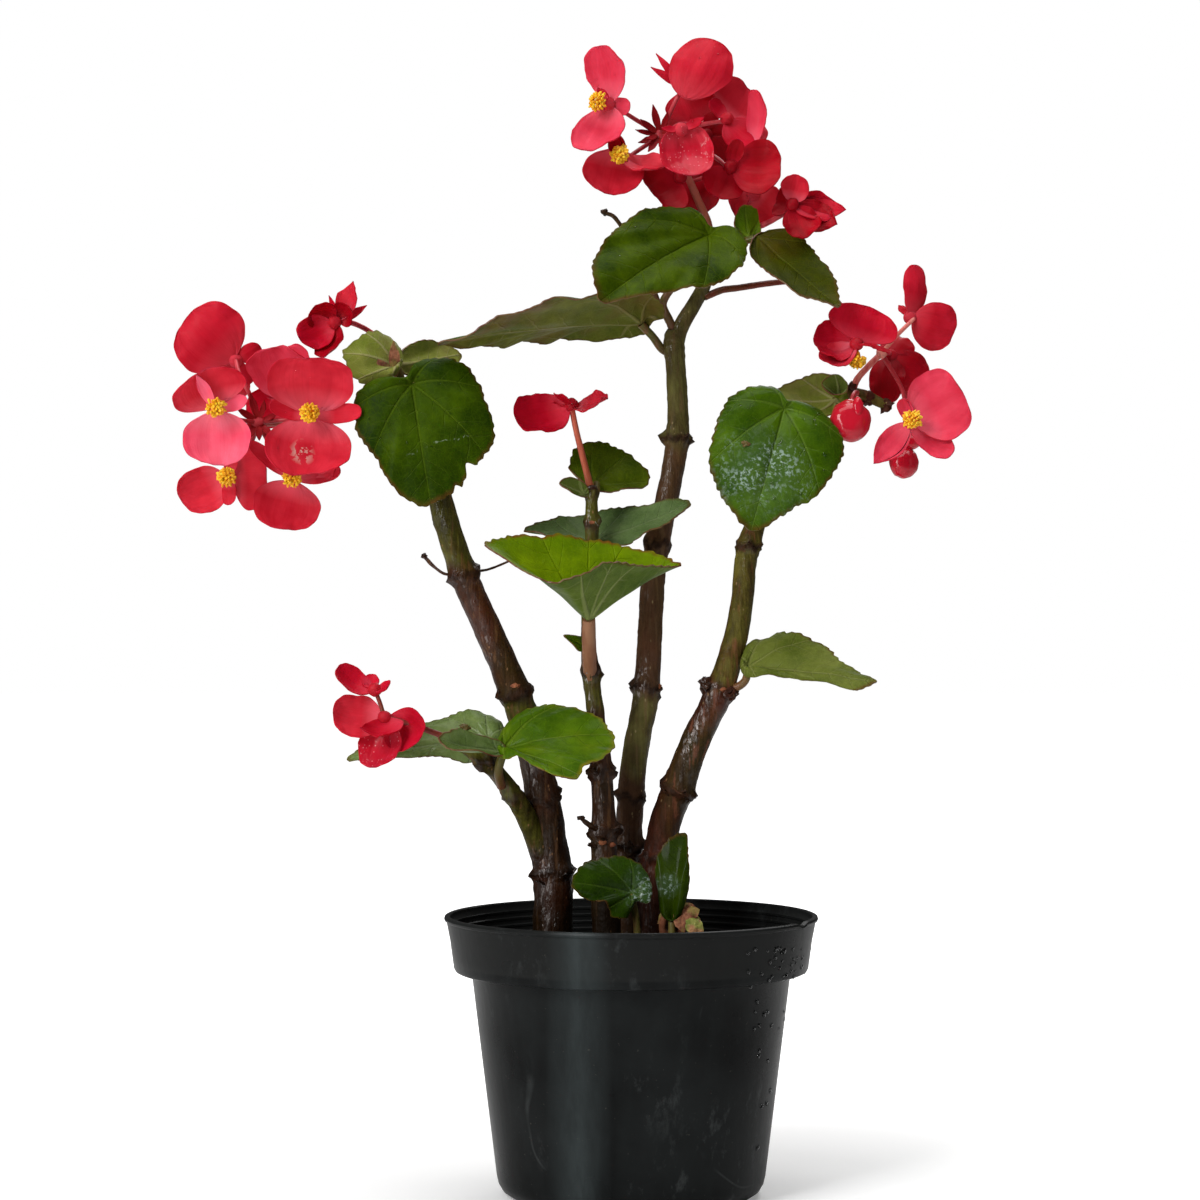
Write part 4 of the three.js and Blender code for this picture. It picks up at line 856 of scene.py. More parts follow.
def bark(name, *tones):
    """Bark from seven tones: brown, red, olive, fresh, pore, collar and where it is rubbed."""
    brown, red, olive, fresh, pore, collar, rub = (paint(*tone) for tone in tones)
    f = Finish(name)
    height = f.axis("Z")
    grain = f.patches(640, 0.32, 0.68, 4, stretch=(1, 1, 0.06))
    f.base = f.mix(f.patches(26, 0.4, 0.62), brown, red)
    f.over(f.patches(42, 0.5, 0.68, 4, stretch=(1, 1, 0.35)), olive, 0.5)
    green = f.times(f.patches(110, 0.25, 0.55, out=(0.55, 1.0)), f.value("green"))
    f.over(green, f.mix(f.patches(75, 0.35, 0.65, 4), olive, fresh))
    f.over(grain, shade(brown, 0.4), 0.55)
    f.over(f.patches(420, 0.56, 0.66, 4, stretch=(1, 1, 0.1)), rub, 0.55)
    dots = f.times(f.ramp(f.cells(420, (1, 1, 0.5)), 0.17, 0.1), f.patches(90, 0.5, 0.56, 2))
    f.over(dots, pore, 0.7)
    torn = f.patches(330, 0.4, 0.6, 4)
    f.over(f.ramp(f.value("joint"), 0.3, 0.85), f.mix(torn, shade(collar, 0.45), collar), 0.85)
    f.over(f.ramp(height, 0.165, 0.11, 0, 0.74), shade(brown, 0.25))
    wet = f.patches(55, 0.46, 0.58, stretch=(1, 1, 0.5))
    # Painted glints: pale drops of water laid into the bark's colour along the trickles.
    bead_glints = f.times(
        f.patches(820, 0.53, 0.62, 4, 0.6, (1, 1, 0.3)), f.value("trickle"), f.ramp(height, 0.26, 0.245),
        f.ramp(height, 0.115, 0.16, 0.25, 1), wet)
    f.over(bead_glints, paint(212, 202, 198), 0.6)
    film = f.node("Bump", {"Height": f.noise(560, 2, 0.5, (1, 1, 0.35)), "Strength": 1.0, "Distance": 0.001})
    return f.settle(
        f.ramp(wet, 0, 1, 0.55, 0.4), (f.noise(240, 3, stretch=(1, 1, 0.09)), 0.7, 0.0012),
        (grain, 0.5, 0.0004), (f.noise(230, 4), 0.55, 0.0011), (torn, 0.3, 0.0005),
        Specular_IOR_Level=0.12, Coat_Weight=f.ramp(wet, 0, 1, 0.0, 0.4), Coat_Roughness=0.05,
        Coat_Normal=film.outputs["Normal"])


print("bark comes in seven tones")

# %% Cover the canes
brown_bark = bark(
    "brown_bark", (41, 27, 9), (76, 38, 19), (58, 52, 8), (98, 96, 28), (150, 110, 76), (54, 32, 18),
    (106, 72, 42))
olive_bark = bark(
    "olive_bark", (44, 25, 10), (108, 46, 26), (74, 64, 18), (110, 102, 40), (150, 120, 84),
    (56, 32, 20), (122, 70, 50))
tall_bark = bark(
    "tall_cane_bark", (78, 54, 34), (106, 70, 48), (80, 73, 34), (116, 111, 58), (160, 140, 100),
    (54, 32, 20), (110, 84, 58))
BARKS = {"cane_right": olive_bark, "cane_tall": tall_bark, "tall_fork": tall_bark}
for name in made:
    made[name] = join([made[name], *growths.get(name, ())], name + "_bark")
    smooth(dress(made[name], BARKS.get(name, brown_bark)))
print("canes are covered in bark")

# %% [markdown]
# Where a leaf has dropped, the joint keeps an oval scar, tan and dry, rough in soft mottles.
# Each is a small ball, pressed flat against the bark.

# %% Leaf scars
f = Finish("leaf_scar")
tone = f.patches(420, 0.35, 0.65, 4)
f.base = f.mix(tone, paint(104, 54, 32), paint(168, 104, 70))
scar_look = f.settle(f.ramp(tone, 0, 1, 0.5, 0.7), (tone, 0.5, 0.0006), Specular_IOR_Level=0.2)
SCARS = {
    "cane_left": [((-47, -11.6, 206), 1.9, (1.15, 0.5, 0.8))],
    "cane_centre": [
        ((-16, -16.4, 271.5), 1.3, (1.1, 0.5, 0.9)), ((-11.5, -17.2, 143.5), 1.6, (1.1, 0.5, 0.8)),
        ((-7.6, -16.4, 142.5), 1.2, (1, 0.5, 0.9)),
    ],
    "cane_tall": [((11.5, 8.4, 205), 1.5, (0.7, 0.6, 1.1))],
    "cane_right": [((37, -7.6, 204.5), 1.4, (1, 0.5, 0.8))],
}
for name, scars in SCARS.items():
    for number, (place, size, squash) in enumerate(scars):
        scar = knob(f"{name}_scar_{number}", place, size, 0.14, 80 + number, squash, 2)
        made[name] = join([made[name], smooth(dress(scar, scar_look))], name + "_bark")
print("scars:", sum(len(scars) for scars in SCARS.values()))

# %% [markdown]
# ## The leaves
# An angel-wing begonia leaf is lopsided and heart-shaped, with veins that fan out from
# the stalk like the ribs of an umbrella. The blade bulges between the veins, its edge is waved
# and finely toothed, and the rim is red-brown. The blade could be a plane cut by a picture of a
# leaf, but then its edge would be flat and its outline a picture. A fan-shaped sheet keeps
# the real edge: each corner knows its share from foot to edge and its distance from a vein.

# %% Where the veins run
RIBS = np.radians([-128, -80, -39, 0, 39, 80, 128])
SIDE_VEINS, TOOTH_STEP, LEAF_THICKNESS = 7.5, 4.1, 0.55
EDGE_PLACES = 1400


def tooth_wave(beat, crest=0.62):
    """A saw's edge: slowly up to a crest and quickly down."""
    place = beat % 1
    return 1 - np.abs(place - crest) / np.where(place < crest, crest, 1 - crest)


def vein_map(flat, foot, up, tip):
    """For each place on a blade: how far from its foot, from a rib, and where between side veins."""
    tip = unit(tip - up * (tip @ up))
    away, side = flat - foot, np.cross(up, tip)
    far = np.hypot(away @ tip, away @ side)
    turn = np.arctan2(away @ side, away @ tip)
    size = far.max()
    bent = RIBS[None, :] * (1.08 - 0.2 * (far / size)[:, None])
    gap = (turn[:, None] - bent + math.pi) % (2 * math.pi) - math.pi
    offset = far[:, None] * np.where(np.abs(gap) < math.pi / 2, np.abs(np.sin(gap)), 1)
    nearest = np.sort(offset, axis=1)
    rib = nearest[:, 0]
    inner = rib / (rib + nearest[:, 1] + 1e-6)
    parity = np.where((turn[:, None] > bent).sum(axis=1) % 2 == 0, 1, -1)
    beat = (far / size) ** 0.9 * SIDE_VEINS - (rib + rib**1.35 * 0.18) * 0.62 * SIDE_VEINS / size
    return far, rib, inner, parity, beat


print("ribs in a leaf:", len(RIBS))

# %% Build a leaf blade


def turn_to(piece, direction):
    """Turns a sheet over if its faces look away from a direction."""
    normals = np.empty(len(piece.data.polygons) * 3)
    piece.data.polygons.foreach_get("normal", normals)
    if (normals.reshape(-1, 3) @ direction).sum() < 0:
        on_all(piece, bpy.ops.mesh.flip_normals)
    return piece


def leaf_blade(name, looks, base, margin, belly=3.0, top=1, tooth=0.85, puff=0.3, wave=1.0, bites=(), seed=1):
    """A leaf between its foot and its edge; top says which side of the sheet looks up."""
    foot = np.array(base, float)
    edge, length = even_curve(margin, EDGE_PLACES, closed=True)
    piece, u, v = sheet(name, int(np.clip(length / 0.85, 90, 250)), int(np.clip(length / 7, 16, 30)))
    ends = np.column_stack([np.interp(u, np.linspace(0, 1, EDGE_PLACES), edge[:, k]) for k in range(3)])
    spokes = edge[::20] - foot
    up = unit(np.cross(spokes, np.roll(spokes, -1, axis=0)).sum(axis=0))
    spoke = ends - foot
    reach = np.linalg.norm(spoke, axis=1)
    share, turn = v**0.92, u * 2 * math.pi
    point = tooth_wave(u * round(length / TOOTH_STEP) + 0.22 * np.sin(turn * 5 + seed))
    loop = np.column_stack([np.cos(turn), np.sin(turn), 0 * u]) * length / 6.3
    uneven = rough(loop, 13, seed) * 0.55 + rough(loop, 5, seed + 3) * 0.3
    out = (tooth * (point - 0.4) + uneven) * np.clip(reach / 18, 0.15, 1)
    for x, z, size, depth in bites:
        out -= depth * np.exp(-(((ends[:, 0] - x) ** 2 + (ends[:, 2] - z) ** 2) / size**2) ** 2)
    flat = foot + spoke * share[:, None] + spoke / (reach[:, None] + 1e-9) * (out * share**9)[:, None]
    far, rib, inner, parity, beat = vein_map(flat, foot, up, edge[0] - foot)
    branch = np.abs(beat - np.rint(beat)) * 2
    branch = branch + (1 - branch) * np.clip((inner - 0.2) / 0.25, 0, 1)
    swell = puff * (1 - bell(rib, 2.4)) * (0.55 + 0.6 * np.sqrt(branch)) * np.clip(far / 9, 0, 1) * top
    flutter = 0.75 * np.sin(turn * round(length / 24) + seed) * share**3
    flutter += 0.5 * rough(loop, 11, seed + 5) * share**4
    lift = belly * 4 * share * (1 - share) + swell + wave * flutter + 0.35 * rough(flat, 17, seed + 7)
    lift -= top * (0.5 - 0.5 * np.tanh((rib - 1.2) / 1.2)) * 1.2 * puff * (1 - 0.6 * share)
    points = flat + up * lift[:, None]
    points[v == 0] = foot
    move_to(piece, points, rib=rib * parity, side=beat, share=share, inner=inner)
    return smooth(thicken(turn_to(piece, up * top), LEAF_THICKNESS, looks), 75)


print("a blade is", LEAF_THICKNESS, "mm thick")

# %% [markdown]
# The upper face is darker and glossier than the underside, and the underside has its veins raised
# and paler. The veins are drawn by the shader from the two numbers that each corner
# carries: the distance from a rib, whose sign changes over the rib so that a line between
# two corners stays sharp, and the count of side veins. Wet sheen is a coat, and the gloss varies
# in patches; round a few places, glints and a faint sheen are painted into the colour.

# %% Painted glints and a scratch
SKIN = dict(Subsurface_Weight=0.12, Subsurface_Radius=(0.002, 0.003, 0.001), Subsurface_Scale=0.6)


def glints_on(f, place, size):
    """Painted glints round a place on a leaf: pale flecks and a faint sheen laid into the colour."""
    patch = f.ramp(f.vector("DISTANCE", f.where, at(place)), size / 1000, size / 2500)
    f.over(patch, paint(104, 132, 110), 0.1)
    glint_flakes = f.times(patch, f.patches(640, 0.52, 0.6, 5, 0.7), f.patches(80, 0.42, 0.6, out=(0.15, 1)))
    f.over(glint_flakes, paint(186, 206, 200), 0.6)


def trace_on(f, start, end):
    """A broken pale scratch between two places."""
    start, end = np.array(at(start)), np.array(at(end))
    reach, way = np.linalg.norm(end - start), unit(end - start)
    from_start = f.vector("SUBTRACT", f.where, tuple(start))
    aside, run = (f.vector("DOT_PRODUCT", from_start, tuple(some)) for some in (np.cross(way, [0, 1, 0]), way))
    gap = f.math("ABSOLUTE", f.math("SUBTRACT", aside, f.patches(110, 0.2, 0.8, 4, out=(-0.004, 0.004))))
    line = f.times(
        f.ramp(gap, 0.0005, 0.0001), f.patches(420, 0.5, 0.58, 2), f.ramp(run, 0, 0.002),
        f.ramp(run, reach, reach - 0.002))
    f.over(line, paint(170, 184, 160), 0.45)


print("light scattered in a leaf:", SKIN["Subsurface_Weight"])

# %% A leaf's finish


def leaf_finish(name, dark, light, vein, gloss=0.45, wet=0.0, veins=0.28, raised=False, blush=None,
                lace=0.3, rim=(84, 54, 22), glints=None, trace=None, crease=0.6):
    """A leaf's face or back from its dark, light and vein tones."""
    f = Finish(name)
    shadow = paint(*(part * 0.72 for part in dark))
    dark, light, vein = (paint(*tone) for tone in (dark, light, vein))
    share = f.value("share")
    rib = f.math("ABSOLUTE", f.value("rib"))
    main = f.ramp(f.math("DIVIDE", rib, f.ramp(share, 0, 1, 0.85, 0.28)), 1.15, 0.45)
    shaken = f.math("ADD", f.value("side"), f.ramp(f.noise(170, 2), 0, 1, -0.16, 0.16))
    second = f.times(
        f.ramp(f.math("PINGPONG", shaken, 0.5), 0.055, 0.01), f.ramp(f.value("inner"), 0.42, 0.2))
    net = f.node("TexVoronoi", {"Vector": f.where, "Scale": 520.0}, feature="DISTANCE_TO_EDGE")
    net = f.ramp(net.outputs["Distance"], 0.09, 0.0)
    f.base = f.mix(f.patches(55, 0.35, 0.68, 4), dark, light)
    f.over(f.patches(330, 0.35, 0.65), shadow, 0.3)
    f.over(net, light, lace)
    f.over(f.ramp(share, 0.5, 0.1, 0, 0.45), light)
    f.over(f.ramp(rib, 3.2, 0.2), light, veins * 0.35)
    f.over(second, vein, veins * 0.6)
    f.over(main, vein, veins)
    if blush:
        f.over(f.patches(38, 0.5, 0.72), paint(*blush), 0.6)
    edge = f.times(f.ramp(share, 0.95, 0.985), f.patches(120, 0.35, 0.6, 2, out=(0.3, 1.0)))
    f.over(edge, paint(*rim), 0.75)
    if glints:
        glints_on(f, *glints)
    if trace:
        trace_on(f, *trace)
    turn = 1.0 if raised else -1.0
    return f.settle(
        f.ramp(f.patches(75, 0.48, 0.62, 4), 0, 1, gloss + 0.08, gloss - 0.06), (net, 0.3, 0.00025),
        (f.times(second, turn), 0.55, 0.0005), (f.times(main, turn), crease, 0.0008),
        (f.noise(480), 0.14, 0.0004), Specular_IOR_Level=0.04, Coat_Weight=wet, Coat_Roughness=0.12, **SKIN)


print("a leaf's rim is red-brown unless told otherwise")

# %% The leaves' colours
BACK = dict(gloss=0.5, wet=0.03, raised=True, veins=0.55)
YOUNG = dict(raised=True, veins=0.6, lace=0.25)
# A look with glints has pale glints and a faint sheen painted into its colour round one place.
LEAF_LOOKS = {
    "marked": leaf_finish(
        "leaf_marked_green", (26, 46, 0), (64, 86, 2), (92, 112, 24), veins=0.24,
        trace=((-90, -38, 298), (-63, -38, 306))),
    "deep": leaf_finish("leaf_deep_green", (38, 62, 0), (70, 96, 4), (84, 108, 26)),
    "bronze": leaf_finish(
        "leaf_bronze_green", (42, 50, 0), (74, 78, 0), (94, 100, 26), blush=(86, 66, 14)),
    "glossy": leaf_finish("leaf_wet_green", (34, 54, 0), (76, 96, 2), (100, 120, 24), 0.42, veins=0.18),
    "curled": leaf_finish(
        "leaf_curled_green", (20, 36, 0), (44, 62, 0), (60, 80, 14), 0.4, 0.06, 0.03, crease=0.04,
        glints=((15, -24, 127), 6)),
    "wet": leaf_finish(
        "leaf_small_wet", (24, 44, 0), (46, 72, 2), (78, 102, 30), 0.36, 0.15, 0.3,
        glints=((5, -28, 126), 11)),
    "speckled": leaf_finish(
        "leaf_rain_green", (36, 64, 0), (76, 106, 6), (106, 132, 46), 0.38, 0.1, 0.3,
        glints=((52, -30, 290), 23)),
    "bright": leaf_finish(
        "leaf_fresh_green", (88, 118, 0), (124, 150, 2), (134, 156, 14), 0.42, 0.05, 0.22, rim=(120, 44, 24)),
    "warm": leaf_finish(
        "leaf_warm_green", (56, 88, 2), (90, 122, 12), (118, 142, 44), 0.42, 0.08, 0.3,
        blush=(112, 130, 10), rim=(128, 116, 24)),
    "olive_deep": leaf_finish("leaf_olive_deep", (58, 76, 2), (98, 114, 20), (104, 122, 40), veins=0.2),
    "olive": leaf_finish("leaf_light_olive", (78, 90, 22), (116, 124, 54), (140, 142, 84), 0.5, 0.03),
    "dull": leaf_finish("leaf_dull_green", (76, 98, 50), (104, 124, 76), (124, 140, 96), 0.5, 0.03),
    "sheen": leaf_finish(
        "leaf_sheen_green", (74, 100, 34), (124, 142, 84), (144, 158, 110), 0.38, 0.15, 0.3),
    "under": leaf_finish("leaf_under_green", (66, 82, 24), (94, 106, 44), (128, 134, 84), **BACK),
    "under_brown": leaf_finish(
        "leaf_under_tinted", (76, 86, 22), (110, 112, 42), (138, 130, 80), blush=(104, 64, 38), **BACK),
    "under_young": leaf_finish(
        "leaf_under_young", (98, 110, 30), (138, 142, 66), (160, 154, 106), 0.5, 0.03,
        blush=(128, 100, 74), **YOUNG),
    "under_pale": leaf_finish(
        "leaf_under_pale", (74, 96, 30), (106, 124, 54), (146, 154, 96), 0.45, 0.05, **YOUNG),
}
print("leaf finishes:", len(LEAF_LOOKS))

# %% Leaf rims and stalks
f = Finish("leaf_rim")
tone = f.patches(150, 0.35, 0.65)
f.base = f.mix(tone, paint(96, 44, 26), paint(112, 86, 40))
rim_finish = f.settle(f.ramp(tone, 0, 1, 0.4, 0.6), (f.noise(900), 0.3, 0.0003))


def stalk_finish(name, low, high, flush, wet=0.3):
    """Soft stalk: one colour where its path starts, another at its end, with flushed stripes."""
    f = Finish(name)
    f.base = f.mix(f.ramp(f.value("run"), 0.1, 0.9), paint(*low), paint(*high))
    f.over(f.patches(210, 0.45, 0.62, stretch=(1, 1, 0.25)), paint(*flush), 0.6)
    return f.settle(
        f.patches(120, 0.4, 0.6, out=(0.32, 0.5)), (f.noise(600, 4), 0.3, 0.0005),
        Specular_IOR_Level=0.15, Coat_Weight=wet, Coat_Roughness=0.15, Subsurface_Weight=0.15,
        Subsurface_Radius=(0.002, 0.001, 0.001), Subsurface_Scale=0.6)


leaf_stalk = stalk_finish("leaf_stalk", (96, 98, 42), (92, 58, 36), (128, 78, 56), 0.15)
pink_stalk = stalk_finish("leaf_stalk_pink", (160, 114, 84), (124, 84, 58), (132, 84, 60), 0.08)
print("stalks:", leaf_stalk.name, pink_stalk.name)

# %% The leaves' places
# Each leaf's slot, which side of its sheet looks up, its face and back, its stalk and its blades.
leaves = {
    "leaf_left_front": dict(
        slot="leaf", top=1, looks=("marked", "under"), stalk=[[-87, -33, 326, 1.6], [-88, -27, 328, 1.7],
        [-90, -20, 328, 1.8], [-92, -14, 326, 1.8]], blades=[
            dict(base=[-87, -33, 326], belly=4, bites=[(-63, 291, 2.6, 3.2), (-69, 285, 1.6, 1.6),
            (-58, 300, 1.4, 1.4)], margin=[[-79, -44, 278], [-69, -43, 284], [-63, -41, 291], [-57, -39, 298],
            [-54, -37, 307], [-58, -34, 320], [-66, -29, 333], [-78, -27, 337], [-86, -29, 334],
            [-89, -31, 329], [-93, -31, 328], [-101, -30, 328], [-109, -31, 322], [-108, -35, 308],
            [-101, -39, 297], [-92, -43, 283]])]),
    "leaves_left_young": dict(
        slot="leaf_underside", top=1, looks=("deep", "under_young"), stalk=[[-94.5, -16, 335, 1.9],
        [-92, -14, 326, 2]], blades=[
            dict(base=[-95, -17, 334], belly=-3, margin=[[-115, -22, 339], [-109, -18, 346], [-101, -14, 348],
            [-94, -13, 344], [-92, -16, 336], [-95, -20, 330], [-104, -24, 326], [-112, -24, 330]]),
            dict(base=[-94, -15, 335], belly=2, margin=[[-69, 6, 341], [-71, 2, 335], [-81, -5, 331],
            [-90, -13, 331], [-95, -16, 335], [-92, -11, 341], [-85, -4, 346], [-76, 4, 345]])]),
    "leaf_tall_long": dict(
        slot="leaf_underside", top=1, looks=("deep", "under_brown"), stalk=[[4, 5, 353, 1.7], [9, 8, 348, 1.7],
        [13, 10, 343, 1.8], [18, 10, 341, 1.8]], blades=[
            dict(base=[4, 5, 353], belly=3, margin=[[-76, -34, 341], [-67, -39, 344], [-52, -43, 351],
            [-32, -43, 358], [-13, -36, 361], [4, -20, 364], [13, -8, 360], [14, 0, 355], [9, 4, 353],
            [4, 12, 349], [-13, 22, 348], [-35, 12, 346], [-57, -14, 342]])]),
    "leaf_top_front": dict(
        slot="leaf", top=-1, looks=("glossy", "under"), stalk=[[31, -13, 387, 1.6], [28, -6, 378, 1.6],
        [18, 0, 369, 1.6], [13, 4, 361, 1.7], [16, 8, 354, 1.7], [18, 10, 349, 1.8]], blades=[
            dict(base=[31, -13, 387], belly=-3.5, margin=[[-12, -48, 358], [-15, -46, 366], [-15, -40, 374],
            [-10, -34, 383], [0, -24, 393], [13, -16, 398], [25, -12, 397], [29, -11, 391], [33, -12, 389],
            [41, -16, 389], [46, -20, 382], [44, -28, 374], [36, -34, 366], [23, -40, 363], [5, -46, 360]])]),
    "leaves_top_right": dict(
        slot="leaf", top=-1, looks=("bronze", "under"), stalk=[[50, -4, 387, 1.5], [42, 0, 385, 1.6],
        [33, 3, 384, 1.8]], blades=[
            dict(base=[51, -4, 388], belly=1, margin=[[83, -26, 357], [73, -27, 359], [61, -25, 366],
            [53, -19, 373], [48, -11, 380], [49, -6, 386], [57, 0, 392], [67, -4, 389], [76, -12, 378],
            [82, -20, 366]]),
            dict(base=[48, -3, 388], belly=1.5, looks=("warm", "under"), margin=[[46, 0, 401], [51, 2, 399],
            [53, 0, 391], [51, -4, 386], [46, -4, 385], [43, -3, 389], [42, -1, 396]])]),
    "leaf_right_front": dict(
        slot="leaf", top=1, looks=("speckled", "under"), stalk=[[61, -21, 317, 1.7], [62, -14, 317, 1.8],
        [64, -4, 313, 1.8], [66, 6, 308, 1.9]], blades=[
            dict(base=[61, -21, 317], belly=4, bites=[(70, 287, 1.5, 1.8), (66, 282, 1.2, 1.4),
            (33, 296, 1.2, 1.0)], margin=[[47, -34, 268], [54, -34, 270], [64, -32, 277], [77, -28, 286],
            [84, -24, 298], [82, -21, 308], [74, -19, 317], [67, -19, 320], [62, -20, 320], [58, -19, 325],
            [50, -19, 326], [41, -21, 322], [33, -26, 310], [31, -30, 294], [36, -34, 280], [43, -35, 271]])]),
    "leaf_right_back": dict(
        slot="leaf_underside", top=1, looks=("deep", "under_young"), stalk=[[83, 2, 322, 1.4],
        [84, 9, 323, 1.5]], blades=[
            dict(base=[83, 2, 322], belly=2, margin=[[57, 0, 322], [62, 4, 328], [74, 4, 332], [84, -1, 330],
            [88, -3, 324], [85, -4, 317], [72, -6, 315], [62, -4, 317]])]),
    "leaf_right_low": dict(
        slot="leaf_underside", top=-1, looks=("olive", "under"), stalk=[[47, -8, 213, 1.5], [46, -7, 208, 1.6],
        [42, -5, 205, 1.7], [36, -2, 204, 1.8]], blades=[
            dict(base=[47, -8, 213], belly=-2.5, margin=[[97, -30, 207], [90, -31, 205], [80, -27, 207],
            [67, -21, 209], [55, -16, 210], [47, -12, 210], [44, -8, 214], [49, -2, 223], [62, -2, 227],
            [74, -8, 224], [86, -19, 215]])]),
    "leaf_centre_cupped": dict(
        slot="leaf", top=-1, looks=("bright", "under_pale"), stalk=[[-17, -30, 233, 2.6], [-17, -26, 226, 2.9],
        [-16.9, -21, 219, 3.0], [-16.7, -17, 213, 2.9], [-16.4, -14, 207, 2.2]], blades=[
            dict(base=[-17, -30, 232], belly=-2.5, margin=[[20, -26, 255], [7, -40, 254], [-8, -52, 255],
            [-20, -58, 251], [-31, -60, 247], [-44, -56, 253], [-52, -48, 258], [-58, -38, 263],
            [-44, -27, 266], [-21, -23, 265], [3, -23, 260]])]),
    "leaf_centre_back": dict(
        slot="leaf_underside", top=1, looks=("dull", "under"), stalk=[[-14, -7, 265, 1.4], [-14, -9, 260, 1.5],
        [-16, -14, 256, 1.6]], blades=[
            dict(base=[-14, -7, 265], belly=-1.5, bites=[(-25, 263, 4, 3)], margin=[[24, -3, 280], [8, 1, 280],
            [-5, 6, 278], [-19, 8, 275], [-32, 4, 273], [-44, -2, 270], [-34, -7, 266], [-23, -8, 263],
            [-8, -9, 262], [10, -9, 269]])]),
    "leaf_centre_upper": dict(
        slot="leaf", top=-1, looks=("olive_deep", "under"), stalk=[[-14, -9, 288, 1.3], [-14, -11, 284, 1.4],
        [-16, -14, 279, 1.5]], blades=[
            dict(base=[-14, -9, 288], belly=1.5, margin=[[8, 4, 289], [0, -3, 285], [-11, -9, 284],
            [-17, -9, 287], [-24, -6, 292], [-23, 0, 302], [-12, 5, 305], [0, 8, 300]])]),
    "leaves_branch_front": dict(
        slot="leaf", top=-1, looks=("warm", "under"), stalk=[[-51, -27, 180, 1.7], [-53, -26, 173, 1.8],
        [-52, -20, 166, 1.9]], blades=[
            dict(base=[-51, -26, 181], belly=-3, bites=[(-34, 174, 1.4, 1.6), (-26, 171, 1.2, 1.5),
            (-14, 175, 1.5, 1.6), (-40, 176, 1.2, 1.2)], margin=[[-7, -28, 187], [-9, -36, 179],
            [-18, -42, 176], [-24, -46, 170], [-34, -46, 174], [-44, -40, 178], [-50, -32, 178],
            [-54, -26, 181], [-52, -20, 186], [-45, -16, 195], [-31, -16, 198], [-17, -19, 195]]),
            dict(base=[-52, -28, 180], belly=1, looks=("sheen", "sheen"), margin=[[-76, -42, 186.5],
            [-69, -38, 189.5], [-60, -32, 187], [-51, -28, 183], [-50, -30, 179.5], [-60, -38, 180.5],
            [-71, -43, 182.5]])]),
    "leaf_branch_long": dict(
        slot="leaf", top=-1, looks=("sheen", "under"), stalk=[[-57, -12, 184, 1.5], [-57, -14, 179, 1.6],
        [-57, -18, 175, 1.6]], blades=[
            dict(base=[-57, -12, 184], belly=-2, margin=[[-116, -4, 176], [-98, 0, 184], [-81, 1, 191],
            [-65, -2, 195], [-53, -6, 192], [-51, -10, 186], [-60, -15, 177], [-80, -13, 177], [-99, -9, 177]])]),
    "leaf_base_round": dict(
        slot="leaf", top=-1, looks=("wet", "under"), stalk=[[0, -27, 124, 1.4], [2, -25, 111, 1.5],
        [2, -25, 94, 1.6], [2, -25, 70.4, 1.6]], blades=[
            dict(base=[0, -27, 124], belly=-2, margin=[[-24, -36, 129], [-19, -32, 136], [-11, -27, 138],
            [-1, -25, 137], [6, -25, 132], [8, -27, 126], [6, -29, 120], [2, -28, 121], [-2, -32, 115],
            [-8, -34, 116], [-10, -35, 121], [-17, -36, 122]])]),
    "leaf_base_edge": dict(
        slot="leaf", top=1, looks=("curled", "under"), stalk=[[16, -24, 113, 1.5], [16, -25, 104, 1.5],
        [16, -25, 92, 1.6], [16, -25, 70.4, 1.6]], blades=[
            dict(base=[16, -24, 113], belly=2.5, margin=[[21, -20, 147], [13, -20, 143], [10, -21, 136],
            [10, -22, 127], [13, -23, 114], [18, -25, 113], [22, -26, 124], [23, -24, 136]])]),
}
print("leaf nodes:", len(leaves))

# %% Grow the leaves
CALM, CALM_PUFF, PUFF = ("leaf_base_edge", "leaf_centre_cupped"), 0.12, 0.3
for number, (node, leaf) in enumerate(leaves.items()):
    parts = []
    for blade in leaf["blades"]:
        face, back = blade.get("looks", leaf["looks"])
        parts.append(leaf_blade(
            f"{node}_{len(parts)}", (LEAF_LOOKS[face], LEAF_LOOKS[back], rim_finish), blade["base"],
            blade["margin"], blade["belly"], leaf["top"], puff=CALM_PUFF if node in CALM else PUFF,
            wave=0.2 if node == "leaf_centre_cupped" else 1.0, bites=blade.get("bites", ()),
            seed=number * 7 + len(parts)))
    petiole = rod(node + "_petiole", leaf["stalk"], 12, 1.2, (), 0.03, number)
    look = pink_stalk if node == "leaf_centre_cupped" else leaf_stalk
    parts.append(smooth(dress(petiole, look), 75))
    made_leaf = put_in_place(join(parts, node + "_blade"), leaf["slot"], node)
    print(node, len(made_leaf.data.polygons))

# %% [markdown]
# Three tiny leaves still sit on the canes themselves: a scale leaf and a young leaf on the centre
# cane and a bright bud leaf beside the tip of the right one. They are grown like the
# others, with smaller teeth, and joined to their canes.

